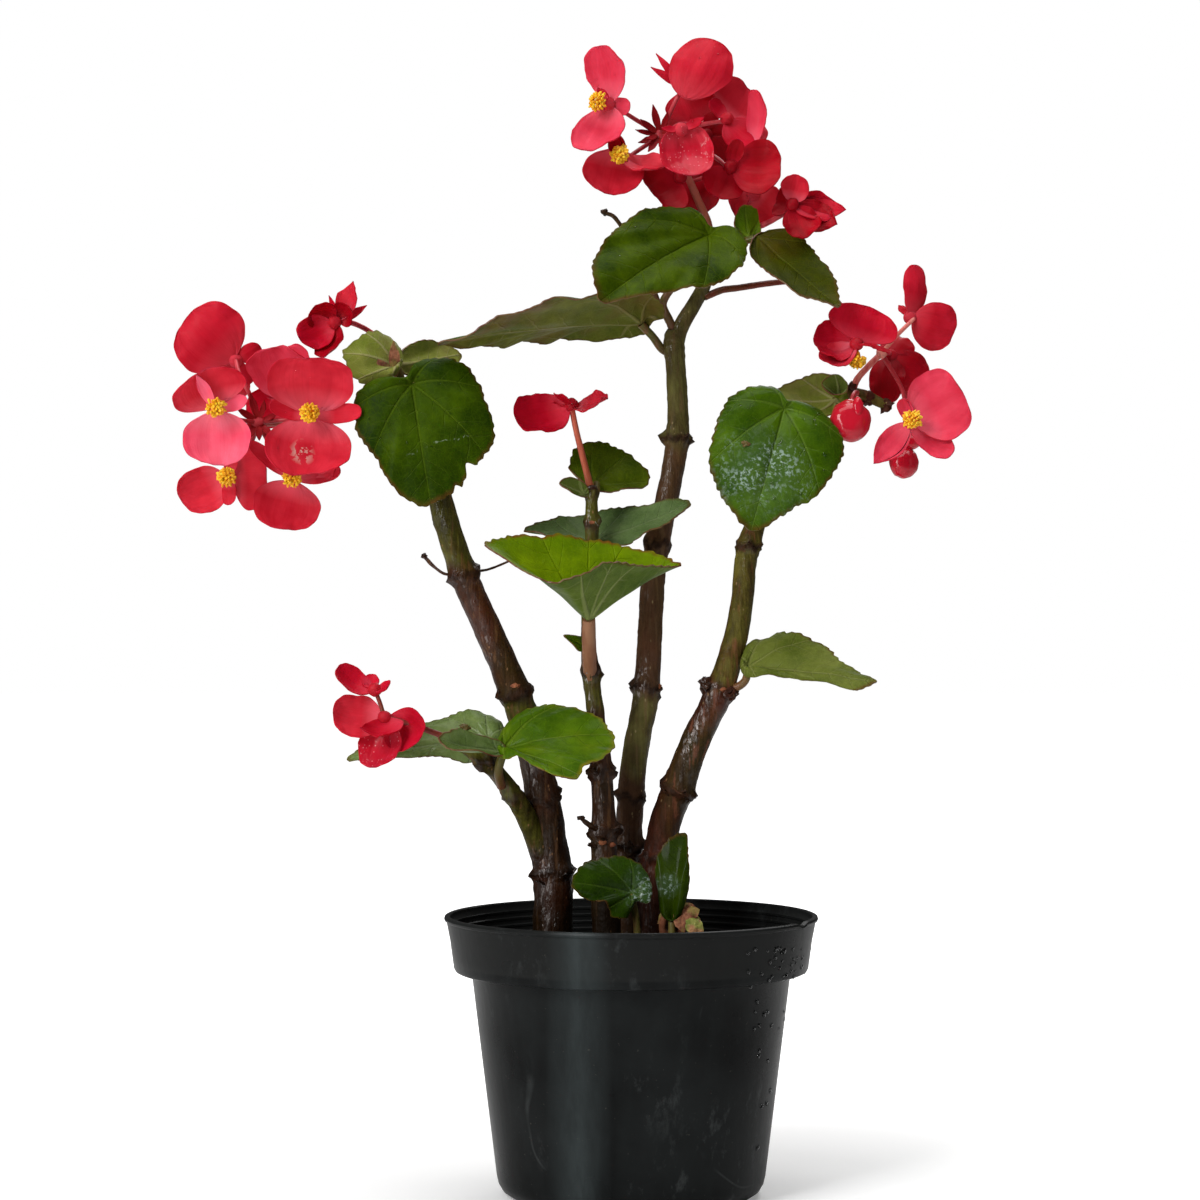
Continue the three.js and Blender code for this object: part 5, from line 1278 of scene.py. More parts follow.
# %% Tiny leaves, and the canes put in place
TINY = {
    "cane_centre": [
        ([-18.5, -16, 222], [
            [-27.5, -22, 226.5], [-24, -20, 223.2], [-21, -18, 220], [-18.5, -16, 220.5], [-18, -16, 225.5],
            [-22, -19, 226.4]], 0, "warm"),
        ([-19, -17, 283], [
            [-29, -23, 287.5], [-25, -20, 289.5], [-19, -18, 286.5], [-17, -16, 282],
            [-23, -22, 283.4]], 0.5, "olive"),
    ],
    "cane_right": [
        ([84, -3, 322.5], [
            [77, -9, 327.5], [80, -10, 330.5], [84, -10, 331], [87, -8, 328], [86.5, -6, 325],
            [81, -8, 323.5]], 0, "bright"),
    ],
}
for node, tiny in TINY.items():
    for count, (base, margin, belly, look) in enumerate(tiny):
        looks = (LEAF_LOOKS[look], LEAF_LOOKS["under"], rim_finish)
        blade = leaf_blade(
            f"{node}_tiny_{count}", looks, base, margin, belly, tooth=0.3, puff=0.1, seed=90 + count)
        made[node] = join([made[node], blade], node + "_bark")
for node, branch in (("cane_left", "left_branch"), ("cane_tall", "tall_fork")):
    made[node] = join([made[node], made.pop(branch)], node + "_bark")
for node, slot in (
    ("cane_left", "bark"), ("cane_centre", "bark"), ("cane_tall", "bark"), ("cane_right", "green_wood"),
):
    put_in_place(made[node], slot, node)
print("canes in place, with", sum(len(tiny) for tiny in TINY.values()), "tiny leaves")

# %% [markdown]
# ## The blooms
# A begonia's male flower has four tepals, two broad ones and two narrow ones, round a tuft of
# yellow anthers. Each tepal is a shell: cupped across, bent along, with a loose, ruffled edge.
# It could be a bent plane, but all bent planes look alike. Here a grid is drawn out to
# the solid tepal's own outline, then ruffled with its own seed, so that no two are the same.

# %% Build a tepal
TEPAL_ROOT, FULL, CLAW, TEPAL_THICKNESS = 0.8, 0.8, 1.15, 0.42


def tepal(name, looks, heart, shape, face, seed, ruffle=1.0, sharp=False):
    """A tepal from its heart: its tip, its width and its dish, as the solid has them."""
    *tip, width, dish = shape if len(shape) > 4 else (*shape, 0.5)
    length, along = np.linalg.norm(tip), unit(tip)
    up = np.array(face, float)
    up = unit(up - along * (up @ along))
    piece, u, v = sheet(name, *((30, 34) if width > 12 else (16, 20)))
    g = -np.cos(v * math.pi)
    t = np.sin((u * 2 - 1) * math.pi / 2 * 0.999)
    cosine = np.abs(g) ** np.where(g > 0, 1 / FULL, 1)
    sine = np.sqrt(np.clip(1 - cosine**2, 0, 1))
    half = width / 2 * sine ** np.where(g > 0, FULL, CLAW)
    if sharp:
        half = np.where(g > 0, width / 2 * (1 - g**2) ** 1.25, half)
    draw = np.random.default_rng(seed)
    a, b, c = draw.uniform(0, 6.28, 3)
    rim = np.arctan2(t * half, g * length / 2)
    notch = 0.022 * np.sin(rim * 3 + a) + 0.008 * np.sin(rim * 7 + b) + 0.004 * np.sin(rim * 15 + c)
    outer = np.maximum(np.abs(t) ** 4, np.clip(g, 0, 1) ** 4)
    far = TEPAL_ROOT + (length - TEPAL_ROOT) / 2 * (1 + g) * (1 + notch * outer * (g > 0) * 0.8)
    aside = half * t * (1 + notch * outer)
    rise = dish * (far**2 / length - far + aside**2 / width)
    size = min(width, length) / 24
    edge = np.maximum(np.abs(t) ** 3, np.clip(g, 0, 1) ** 3) * np.clip(far / length * 1.6, 0, 1)
    waves = 1.1 * np.sin(rim * 3 + b) + 0.5 * np.sin(rim * 7 + c) + 0.16 * np.sin(rim * 16 + a)
    rise += ruffle * size * edge * waves + 0.1 * size * np.cos(t * 24 + b)
    rise += 0.35 * size * np.sin(t * 9 + a) * np.sin(g * 2.2 + 1.5) * (1 - t**2)
    points = np.array(heart, float) + sum(
        way * some[:, None] for way, some in ((along, far), (np.cross(up, along), aside), (up, rise)))
    move_to(piece, points, across=t, along=(g + 1) / 2, tint=draw.uniform(0, 1))
    return smooth(thicken(turn_to(piece, up), TEPAL_THICKNESS, looks))


print("tepals are ready to build")

# %% [markdown]
# A petal's colour is deepest at its edge and back and pale at its base, with faint veins that fan
# from the base. The fan comes from noise on the petal's own two directions. Light
# passes through a petal, so part of its colour is scattered under the skin.

# %% Petal finishes


def petal_finish(name, deep, bright, foot, gloss=0.5, scatter=0.3, wet=0.0, torn=None, bead_glints_on=False):
    f = Finish(name)
    deep, bright, foot = (paint(*tone) for tone in (deep, bright, foot))
    across, along, tint = (f.value(key) for key in ("across", "along", "tint"))

    def fan(wide, long):
        return f.node("CombineXYZ", {
            "X": f.times(across, wide), "Y": f.times(along, long), "Z": f.times(tint, 30.0)}).outputs[0]

    cloud = f.patches(60, 0.35, 0.65)
    streak = f.patches(1.5, 0.35, 0.68, 4, 0.5, where=fan(9.0, 0.9))
    f.base = f.mix(cloud, deep, bright)
    f.over(streak, bright, 0.22)
    f.over(f.patches(1.2, 0.5, 0.66, 3, 0.6, where=fan(34.0, 1.6)), deep, 0.24)
    f.over(f.ramp(tint, 0, 1, 0, 0.35), deep)
    f.over(f.ramp(along, 0.42, 0.05, 0, 0.6), foot)
    f.over(f.ramp(f.math("ABSOLUTE", across), 0.8, 1.0, 0, 0.25), deep)
    # Painted glints: pale drops of water laid into the colour of wet petals.
    if bead_glints_on:
        bead_glints = f.times(f.ramp(f.cells(760), 0.26, 0.12), f.patches(130, 0.46, 0.54))
        f.over(bead_glints, paint(250, 176, 186), 0.55)
    if torn:
        patch = f.ramp(f.vector("DISTANCE", f.where, at(torn)), 0.0075, 0.0045)
        f.over(f.times(patch, f.patches(330, 0.5, 0.53)), paint(206, 176, 164))
    return f.settle(
        f.ramp(cloud, 0, 1, gloss + 0.08, gloss - 0.08), (streak, 0.12, 0.0004),
        (f.noise(190), 0.3, 0.0008), (f.noise(1500, 2), 0.1, 0.0002), Specular_IOR_Level=0.08,
        Coat_Weight=wet, Coat_Roughness=0.1, Subsurface_Weight=scatter,
        Subsurface_Radius=(0.004, 0.0012, 0.0012), Subsurface_Scale=0.5)


print("one function makes every petal's finish")

# %% The petals' colours
WET, BUD = dict(gloss=0.35, scatter=0.35, wet=0.2, bead_glints_on=True), dict(gloss=0.22, scatter=0.15, wet=0.6)
# Each petal's face and back: its deep, bright and foot tones, and what else sets it apart.
PETALS = {
    "pink": [((250, 68, 98), (255, 106, 130), (255, 138, 154)), ((170, 14, 36), (210, 36, 60), (220, 80, 96)), {}],
    "rose": [((206, 44, 68), (234, 72, 96), (240, 112, 130)), ((176, 22, 42), (208, 40, 62), (216, 72, 86)), {}],
    "coral": [((186, 20, 40), (224, 52, 70), (244, 112, 128)), ((174, 14, 34), (208, 32, 54), (206, 64, 78)), {}],
    "wet_pink": [((184, 14, 38), (210, 44, 66), (206, 74, 88)), ((180, 14, 38), (206, 42, 64), (200, 66, 80)), WET],
    "bud": [((156, 0, 18), (192, 6, 32), (206, 30, 52)), ((156, 0, 18), (192, 6, 32), (206, 30, 52)), BUD],
    "red": [
        ((172, 4, 30), (208, 22, 50), (218, 62, 82)), ((150, 4, 22), (190, 14, 36), (190, 40, 54)), {"gloss": 0.45}],
    "deep_red": [
        ((134, 1, 14), (176, 8, 28), (184, 28, 46)), ((122, 1, 12), (166, 6, 26), (152, 18, 30)), {"gloss": 0.45}],
}
PETAL_LOOKS = {
    key: (
        petal_finish("petal_" + key, *face, **more, torn=(-129, -38, 301) if key == "coral" else None),
        petal_finish("petal_" + key.replace("wet_pink", "wet") + "_back", *back, **more))
    for key, (face, back, more) in PETALS.items()
}
print("petal finishes:", 2 * len(PETAL_LOOKS))

# %% The blooms' places
# Each tepal is its tip from the heart, its width, and its dish and own face where they differ.
# "look" names the slot's colour and "tone" another one seen, "own" and "shift" are for single tepals.
flowers = {
    "bloom_left_front": dict(
        heart=[-127, -30, 314], face=[0, -1, 0.05], look="coral", tuft=True, tepals=[[1, -17, 22, 34],
        [-2, -11, -24, 34], [20, -6, 1, 8], [-16, -2, 4, 8]]),
    "bloom_left_outer": dict(
        heart=[-164, -35, 316], face=[0.05, -1, 0.05], look="coral", tone="pink", own={1: "coral"}, tuft=True,
        shift={2: (0, -7, 0)}, tepals=[[1, -6, -22, 27], [-5, -9, 14, 30, 0.6], [-7, -2, 13, 5],
        [12, 0, 4, 6]]),
    "bloom_left_low": dict(
        heart=[-135, -20, 289], face=[0, -1, 0.05], look="coral", tuft=True, tepals=[[-5, -6, -20, 27],
        [7, -7, 14, 28], [-17, -3, 14, 6], [19, -6, 3, 7]]),
    "bloom_left_lowest": dict(
        heart=[-162, -8, 290], face=[-0.1, -1, 0], look="coral", tuft=True, tepals=[[-19, -5, -9, 19],
        [15, -3, 1, 27], [1, -3, 12, 6], [0, -3, -11, 6]]),
    "bloom_left_back": dict(
        heart=[-161, 4, 338], face=[-0.2, 1, 0.1], look="deep_red", tone="coral", tepals=[[-20, 3, 18, 31],
        [-11, 12, -10, 26], [10, 2, 6, 7], [6, 4, -9, 6]]),
    "bloom_left_upper": dict(
        heart=[-137, -6, 321], face=[-0.4, -0.7, 0.5], look="coral", tone="rose", own={3: "red"},
        tepals=[[-8, -10, 21, 28], [-7, 8, 22, 25], [12, -2, 6, 6], [-19, 5, -4, 17, 0.4, [0, -1, 0.1]]]),
    "buds_left": dict(
        heart=[-119, -15, 352], face=[-0.6, -0.8, -0.2], look="deep_red", tone="red", own={0: "deep_red",
        2: "deep_red", 3: "coral", 4: "deep_red"}, ruffle=1.4, pointed=(3,), tepals=[[-9, -3, 5, 14, 0.9],
        [-14, -4, -7, 14, 0.9], [-5, -6, -14, 12, 0.9], [7, -2, 16.5, 10, 0.6], [6, -4, 5, 11, 0.7],
        [13, 2, 7, 4], [-2, 1, 11, 3]]),
    "bloom_top_left": dict(
        heart=[-9, -12, 440], face=[-0.7, -0.7, 0.05], look="coral", tone="rose", tuft=True,
        tepals=[[-4, -5, 23, 21], [-9, -13, -20, 21, 0.5, [-0.45, -1, 0.1]], [-4, -3, 6, 5], [9, -2, -2, 7]]),
    "bloom_top_low_left": dict(
        heart=[-4, -13, 418], face=[-0.1, -0.95, 0.1], look="coral", own={2: "deep_red"}, tuft=True,
        shift={0: (-1, 2, 5)}, tepals=[[-4, -5, -19, 25], [17, -3, -3, 18, 0.4, [0, -0.5, 0.9]],
        [-3, -6, 8, 7]]),
    "bloom_top_crown": dict(
        heart=[22, 8, 449], face=[0.3, 0.9, -0.2], look="coral", shift={0: (0, -8, -6)},
        tepals=[[12, 3, 25, 26.5], [5, 8, -11, 22], [-12, 0, 15, 3.2], [-14, -2, 9, 3.4]]),
    "bloom_top_wet": dict(
        heart=[20, -17, 429], face=[0, -1, 0.3], look="coral", own={0: "wet_pink", 1: "red", 2: "red"},
        pointed=(1, 2), shift={0: (0, -1, 4)}, tepals=[[4, -6, -23, 21.5, 0.8], [9, -4, 4, 4], [-8, -3, 0, 3]]),
    "bloom_top_dark": dict(
        heart=[20, -3, 412], face=[0, -1, 0.2], look="deep_red", pointed=(2,), shift={1: (0, 13, 0)},
        tepals=[[-11, -5, -8, 23], [8, -5, -15, 24], [-2, -2, 8, 7]]),
    "bloom_top_right": dict(
        heart=[39, 1, 436], face=[0.5, -0.8, 0.2], look="deep_red", tone="red", own={0: "coral", 3: "rose"},
        shift={3: (9.5, -3, -12)}, tepals=[[9, 6, 14, 25], [13, -5, -11, 20], [-7, -3, 7, 7], [1.5, -3, 23, 10,
        0.8, [-0.7, -0.8, 0]]]),
    "bloom_top_back": dict(
        heart=[31, 20, 432], face=[0, 1, 0.1], look="deep_red", tepals=[[-9, 6, 15, 25], [5, 8, -18, 27],
        [12, 5, 4, 8], [-12, 4, -4, 7]]),
    "bloom_top_low_right": dict(
        heart=[40, -11, 415], face=[0.2, -1, 0.2], look="deep_red", tepals=[[20, -5, -1, 23], [-6, -3, -12, 18],
        [3, -3, 10, 7]]),
    "bloom_top_under": dict(
        heart=[50, 8, 406], face=[0.3, -0.6, -0.7], look="coral", tepals=[[9, -2, -9, 19], [-9, -1, -6, 17],
        [2, 8, -5, 7]]),
    "buds_top": dict(
        heart=[65, -8, 400], face=[0.9, -0.4, -0.2], look="deep_red", own={0: "red", 1: "red", 4: "coral"},
        ruffle=2.0, pointed=(0, 1, 2), tepals=[[22, -2, -2.5, 11, 0.35, [0.2, -0.85, 0.4]],
        [18, 3, 1.5, 10, 0.5], [18.5, -4, -8.5, 13, 0.5, [0.3, -0.95, 0]], [7, -7, -13, 15, 0.6,
        [0.1, -1, 0.1]], [2.5, -5, 11, 11.5, 0.7, [-0.1, -1, 0.2]], [-6, 3, 2, 13, 0.8, [-0.3, -0.9, 0.2]]]),
    "bloom_right_top": dict(
        heart=[91, -6, 344], face=[0, -0.05, -1], look="deep_red", tone="red", own={3: "coral"}, tuft=True,
        ruffle=1.6, tepals=[[5, -2, 14, 29, 0.6, [0, -1, 0]], [-17, -5, 1, 18, 0.9, [-0.2, -1, 0.5]],
        [12, -8, -3, 9], [-14, -7, -8, 12, 0.6, [-0.2, -1, 0.5]]]),
    "bloom_right_outer": dict(
        heart=[114, 8, 356], face=[-0.5, 0.8, 0.3], look="coral", tepals=[[2, 2, 22, 12],
        [18, 3, -6, 20], [-4, 4, 5, 4]]),
    "bloom_right_dark": dict(
        heart=[107, 17, 341], face=[0.2, 0.9, -0.3], look="deep_red", tone="red", own={0: "deep_red"},
        ruffle=1.6, tepals=[[-3, -2, -19, 15], [14, 2, -11, 16], [5, 5, 8, 15]]),
    "bloom_right_front": dict(
        heart=[112, -16, 312], face=[0, -1, 0.1], look="coral", tone="rose", tuft=True, ruffle=1.8,
        pointed=(2,), tepals=[[20, -8, 12, 29], [16, -5, -13, 11], [-15, -6, -16.5, 11.5], [-4, -2, 9, 6]]),
    "bud_right_round": dict(
        heart=[88, -15, 320], face=[0, -1, 0], look="deep_red", tone="bud", tepals=[],
        buds=[[[87.6, -16, 312.4], 8.1, [1.04, 0.85, 1.04]], [[90.4, -19.8, 317.4], 3.4, [0.7, 0.8, 1.3]]]),
    "buds_right_hanging": dict(
        heart=[112, 2, 307], face=[0, -1, 0], look="coral", tone="bud", tepals=[], buds=[[[113, 2, 305], 4.4,
        [1.1, 0.9, 0.8]], [[111, 2, 296.5], 6.2, [0.95, 0.9, 1.05]]]),
    "bloom_centre": dict(
        heart=[-24, -14, 319], face=[0.1, -0.5, 0.85], look="deep_red", tone="red", own={1: "coral"},
        ruffle=1.5, tepals=[[-22, -5, -5, 21, 0.9, [0.1, -0.8, 0.6]], [14, -6, 3, 15], [-6, 8, 2, 8],
        [-5, -11, 3, 8]]),
    "bloom_low": dict(
        heart=[-98, -31, 194], face=[-0.3, -0.8, 0.3], look="deep_red", tone="red", own={0: "coral",
        1: "wet_pink"}, pointed=(3,), shift={3: (8, -4, -0.5)}, tepals=[[-20, -4, 2, 18, 0.8],
        [-4, -8, -19, 18, 0.6], [14, -6, -8, 18, 0.7], [-17, -7, -3, 13, 0.9, [-0.1, -0.6, 0.9]]]),
    "bloom_low_upper": dict(
        heart=[-102, -29, 205], face=[-0.2, -0.6, 0.8], look="deep_red", tone="red", ruffle=0.5,
        tepals=[[-15, -3, 9, 13, 0.6], [6, -4, 1, 8, 0.5], [-3, 5, 5, 7, 0.5]]),
}
print("blooms:", len(flowers))

# %% [markdown]
# ### The tufts
# Forty-odd anthers stand on short threads round the middle, longest in the centre. Each is
# a grain with a groove. One grain is modelled with few faces and copied over a dome.

# %% Build a tuft of anthers
TUFT, RECEPTACLE, ANTHERS, GOLDEN_TURN = 3.7, 2.8, 44, 2.39996
grain, grain_faces = pattern(bpy.ops.mesh.primitive_uv_sphere_add, segments=8, ring_count=6, radius=1)
grain[:, :2] *= 1 - 0.22 * np.abs(np.cos(np.arctan2(grain[:, 1], grain[:, 0])))[:, None] ** 6


def frame_of(way):
    """Two directions square to a way."""
    first = unit(np.cross(way, [0.31, 0.17, 0.93]))
    return first, np.cross(way, first)


def tuft(name, heart, face, seed):
    out = unit(face)
    first, second = frame_of(out)
    draw = np.random.default_rng(seed)
    middle = np.array(heart) + out * (RECEPTACLE + 0.3)
    grains = [(middle + out * 2.0, out, 1.8, 2.7, 0.0)]
    for k in range(ANTHERS):
        tilt, spin = math.acos(1 - 1.25 * (k + 0.5) / ANTHERS), k * GOLDEN_TURN
        way = unit(out * math.cos(tilt) + (first * math.cos(spin) + second * math.sin(spin)) * math.sin(tilt))
        centre = middle + out * 3.0 + way * TUFT * draw.uniform(0.66, 0.98)
        grains.append((
            centre, unit(way + draw.normal(size=3) * 0.45), draw.uniform(0.5, 0.75), draw.uniform(0.95, 1.4),
            draw.uniform(0.4, 1)))
    copies = []
    for centre, way, wide, long, _ in grains:
        a, b = frame_of(way)
        points = centre + (grain[:, :1] * a + grain[:, 1:2] * b) * wide + grain[:, 2:] * way * long
        copies.append((lean(points) / 1000, grain_faces))
    piece = heap(name, copies)
    shares = np.repeat([share for *_, share in grains], len(grain))
    return smooth(put_corners(piece, corners(piece), share=shares), 60)


print("grain faces:", len(grain_faces))

# %% Anther yellow
f = Finish("anther_yellow")
tone = f.patches(700, 0.35, 0.65, 2)
f.base = f.mix(tone, paint(250, 178, 10), paint(255, 222, 50))
f.over(f.ramp(f.value("share"), 0.9, 0.0, 0, 0.8), paint(240, 150, 8))
anther_yellow = f.settle(
    f.ramp(tone, 0, 1, 0.6, 0.45), (f.noise(1800), 0.4, 0.0003), Subsurface_Weight=0.2,
    Subsurface_Radius=(0.001, 0.0007, 0.0002))
print("anthers are", anther_yellow.name)

# %% Open the blooms
for number, (node, bloom) in enumerate(flowers.items()):
    parts, tone = [], bloom.get("tone", bloom["look"])
    for count, shape in enumerate(bloom["tepals"]):
        root = np.array(bloom["heart"]) + unit(bloom["face"]) * (-0.5 if shape[3] > 9 else 0.7)
        parts.append(tepal(
            f"{node}_tepal_{count}", PETAL_LOOKS[bloom.get("own", {}).get(count, tone)],
            root + np.array(bloom.get("shift", {}).get(count, (0, 0, 0))), shape[:5],
            shape[5] if len(shape) > 5 else bloom["face"], number * 11 + count, bloom.get("ruffle", 1.0),
            sharp=shape[3] < 6 or count in bloom.get("pointed", ())))
    balls = [(bloom["heart"], RECEPTACLE, (1, 1, 1))] if bloom["tepals"] else []
    for place, size, squash in balls + bloom.get("buds", []):
        ball = knob(node + "_bud", place, size, 0.03, number + 5, squash, 4)
        parts.append(smooth(dress(ball, PETAL_LOOKS[tone][1])))
    bloom["piece"] = join(parts, node + "_petals")
    if bloom.get("tuft"):
        anthers = dress(tuft(node + "_anthers", bloom["heart"], bloom["face"], number), anther_yellow)
        put_in_place(anthers, "stamens", node.replace("bloom", "stamens"))
print("blooms opened:", len(flowers))

# %% [markdown]
# ## The flower stalks
# Each cluster hangs on one pinkish-red stalk that forks into thin ones, one to a bloom, and each
# thin one meets its receptacle from behind. They are the same rolled sheets as the canes, thin
# and smooth, joined at a small knot where they fork.

# %% Stalks and bracts
PEDICEL = 0.9


def thin(name, *way, seed=None):
    """A thin stalk through [x, y, z] or [x, y, z, radius]."""
    path = [[*spot[:3], spot[3] if len(spot) > 3 else PEDICEL] for spot in way]
    return rod(name, path, 10, 0.9, (), 0.03, seed or len(name))


def to_bloom(name, *way):
    """A thin stalk that ends behind a bloom's receptacle."""
    end = np.array(flowers[name]["heart"]) - unit(flowers[name]["face"]) * 2.5
    return thin(name + "_stalk", *way, [*end, PEDICEL * 0.9], seed=len(name))


def bracts(name, heart, shapes, seed):
    """A ruff of small pointed scales round a fork."""
    return [
        tepal(f"{name}_{count}", (bract_red, bract_red), heart, shape, [0, -1, 0.3], seed + count, 1.5, True)
        for count, shape in enumerate(shapes)
    ]


print("a thin stalk's radius:", PEDICEL, "mm")

# %% Single stalks
stalks = {
    "buds_left": [thin(
        "buds_left_stalk", [-91, -12, 326, 1.3], [-95, -6, 336, 1.2], [-103, -5, 347, 1.1],
        [-112, -10, 352, 1.1], [-118, -15, 352, 1.1])],
    "bloom_centre": [thin(
        "bloom_centre_stalk", [-16, -14, 284, 1.5], [-19, -14, 296, 1.3], [-22, -14, 308, 1.2],
        [-24, -14, 318, 1.2])],
    "bloom_low": [
        thin("bloom_low_stalk", [-65, -22, 182, 1.5], [-74, -26, 186, 1.3], [-84, -29, 190, 1.2],
             [-97, -31, 194, 1.2]),
        thin("bloom_low_fork", [-98, -31, 194], [-100, -29, 200], [-102, -29, 205]),
    ],
    "bud_right_round": [thin("bud_right_stalk", [88, -15, 320], [90, -8, 324], [92, 2, 325], [92, 8, 324])],
    "buds_top": [thin(
        "buds_top_stalk", [35.3, 5.8, 385.5, 1.2], [38, 7.5, 389, 1.2], [44, 8, 391, 1.2],
        [53, 5, 393, 1.2], [60, -2, 396, 1.1], [65, -8, 399, 1.1])],
}
print("single stalks:", len(stalks))

# %% The clusters' stalks
BRACTS = [
    (-8, -6, 5, 2.8, 0.3), (-3, -5, 11, 3, 0.3), (-9, -3, -4, 2.6, 0.3), (3, -6, 8, 2.4, 0.4),
    (-5, -6, -8, 2.8, 0.3), (6, -6, -6, 2.6, 0.4), (8, -4, 3, 2.4, 0.4), (1, -7, -8, 2.6, 0.3),
    (-10, -5, 1, 2.2, 0.3), (5, -7, 2, 2.4, 0.3), (-6, -7, -3, 2.2, 0.3), (4, -5, -10, 2.2, 0.4),
]
bract_red = petal_finish("bract_dark_red", (124, 12, 20), (168, 30, 38), (140, 34, 30), scatter=0.1)
LEFT_HUB, TOP_HUB, RIGHT_HUB = [-150, -10, 312], [12, 0, 429], [102, 5, 341]
clusters = {
    "stalk_left": [
        thin("left_main", [-92, -14, 322, 1.7], [-101, -12, 320, 1.6], [-113, -8, 318, 1.5],
             [-130, -4, 314, 1.4], [-144, -7, 312, 1.4], [-150, -10, 312, 1.4]),
        knob("left_hub", LEFT_HUB, 2.4, 0.15, 3, (1.3, 1, 1)),
        *bracts("left_bract", [-150, -10.6, 312.5], BRACTS[:8], 90),
        to_bloom("bloom_left_front", LEFT_HUB, [-138, -14, 313], [-128, -23, 314]),
        to_bloom("bloom_left_outer", LEFT_HUB, [-158, -18, 313], [-164, -27, 316]),
        to_bloom("bloom_left_low", LEFT_HUB, [-145, -8, 302], [-137, -13, 294]),
        to_bloom("bloom_left_lowest", LEFT_HUB, [-154, -3, 304], [-161, -3, 294]),
        to_bloom("bloom_left_back", LEFT_HUB, [-154, -9, 324], [-158, -6, 331]),
        to_bloom("bloom_left_upper", [-141, -6, 312.5], [-136, -1.5, 315.5]),
    ],
    "stalk_top": [
        thin("top_main", [33, 3, 383, 1.9], [31, 3, 394, 1.8], [27, 4, 404, 1.6],
             [22, 5, 415, 1.5], [16, 3, 424, 1.4], [12, 0, 429, 1.4]),
        knob("top_hub", TOP_HUB, 2.6, 0.15, 4),
        *bracts("top_bract", [11.8, -0.8, 429.6], BRACTS, 70),
        to_bloom("bloom_top_left", TOP_HUB, [0, -5, 436]),
        to_bloom("bloom_top_low_left", TOP_HUB, [5, -3, 424], [-2, -6, 419]),
        to_bloom("bloom_top_crown", [12, 1, 430], [18, 1, 443]),
        to_bloom("bloom_top_wet", TOP_HUB, [17, -7, 428]),
        to_bloom("bloom_top_dark", TOP_HUB, [14, 3, 420], [18, 4, 414]),
        to_bloom("bloom_top_right", TOP_HUB, [26, 7, 434]),
        to_bloom("bloom_top_back", TOP_HUB, [18, 8, 430], [26, 14, 431]),
        to_bloom("bloom_top_low_right", TOP_HUB, [22, -1, 425], [33, -6, 420]),
        to_bloom("bloom_top_under", [24, 5, 411], [36, 9, 414], [46, 11, 412]),
    ],
    "stalk_arching": [thin(
        "arching", [30, 6, 364, 1.6], [37, 7, 367, 1.5], [44, 8, 368, 1.4], [56, 10, 370, 1.3],
        [68, 12, 371, 1.2], [77, 11, 369, 1.2], [84, 9, 363, 1.1], [89, 6, 356, 1.1],
        [91, 1, 350, 1], [91, -4, 347.6, 1])],
    "stalk_right": [
        thin("right_main", [90, 9, 323, 1.5], [92, 8, 330, 1.4], [96, 6, 335, 1.3], [102, 5, 341, 1.3]),
        knob("right_hub", RIGHT_HUB, 2.1, 0.15, 5),
        to_bloom("bloom_right_outer", RIGHT_HUB, [108, 5, 348], [113, 4, 353]),
        to_bloom("bloom_right_dark", RIGHT_HUB, [103, 9, 341]),
        to_bloom("bloom_right_front", RIGHT_HUB, [107, 16, 336], [113, 25, 328], [117, 20, 319], [115, 4, 313]),
        to_bloom("buds_right_hanging", RIGHT_HUB, [111, 6, 325], [112, 8, 312]),
    ],
}
print("clusters:", len(clusters))

# %% The stalks' colours
red_stalk = stalk_finish("flower_stalk", (176, 44, 52), (204, 70, 80), (136, 26, 32))
green_stalk = stalk_finish("green_flower_stalk", (138, 108, 62), (176, 80, 70), (190, 92, 84))
centre_stalk = stalk_finish("centre_flower_stalk", (150, 78, 52), (184, 74, 60), (198, 108, 80), 0.2)
brown_stalk = stalk_finish("brown_flower_stalk", (104, 62, 36), (150, 50, 50), (124, 48, 38), 0.15)
top_stalk = stalk_finish("top_flower_stalk", (150, 92, 64), (190, 72, 76), (176, 104, 88), 0.2)
pale_stalk = stalk_finish("pale_flower_stalk", (226, 120, 104), (206, 74, 80), (238, 164, 146), 0.4)
STALK_LOOKS = {
    "left_main": green_stalk, "arching": brown_stalk, "top_main": top_stalk,
    "right_main": pale_stalk, "right_hub": pale_stalk, "bloom_right_outer_stalk": pale_stalk,
}
OWN_STALKS = {"bloom_centre": centre_stalk, "bloom_low": brown_stalk}


print("stalks with a colour of their own:", len(STALK_LOOKS) + len(OWN_STALKS))

# %% Put stalks and blooms in place


def finished(parts, look, own=None):
    """Small parts with their looks, those that have none yet, and smooth."""
    for part in parts:
        if not part.data.materials:
            dress(part, (own or {}).get(part.name, look))
        smooth(part)
    return parts


for node, parts in clusters.items():
    put_in_place(join(finished(parts, red_stalk, STALK_LOOKS), node + "_rods"), "flower_stalk", node)
second_tier = flowers.pop("bloom_low_upper")["piece"]
for node, bloom in flowers.items():
    parts = [bloom["piece"], *finished(stalks.get(node, []), OWN_STALKS.get(node, red_stalk))]
    if node == "bloom_low":
        parts.append(second_tier)
    slot = "petal_deep_red" if bloom["look"] == "deep_red" else "petal_coral"
    put_in_place(join(parts, node + "_petals"), slot, node)
print("stalks:", len(clusters), "blooms in place:", len(flowers))

# %% [markdown]
# ## The basal shoot
# A new shoot comes up from the soil beside the right cane: a stub whose bud scales lean to
# both sides, pinkish-brown on the left and ending in a pale green tip on the right. The
# scales are made like tepals, long and pointed, and the stub is a short rolled stem.

# %% The shoot and its scales
shoot_red = stalk_finish("young_shoot", (90, 52, 36), (134, 84, 60), (112, 92, 48), 0.2)


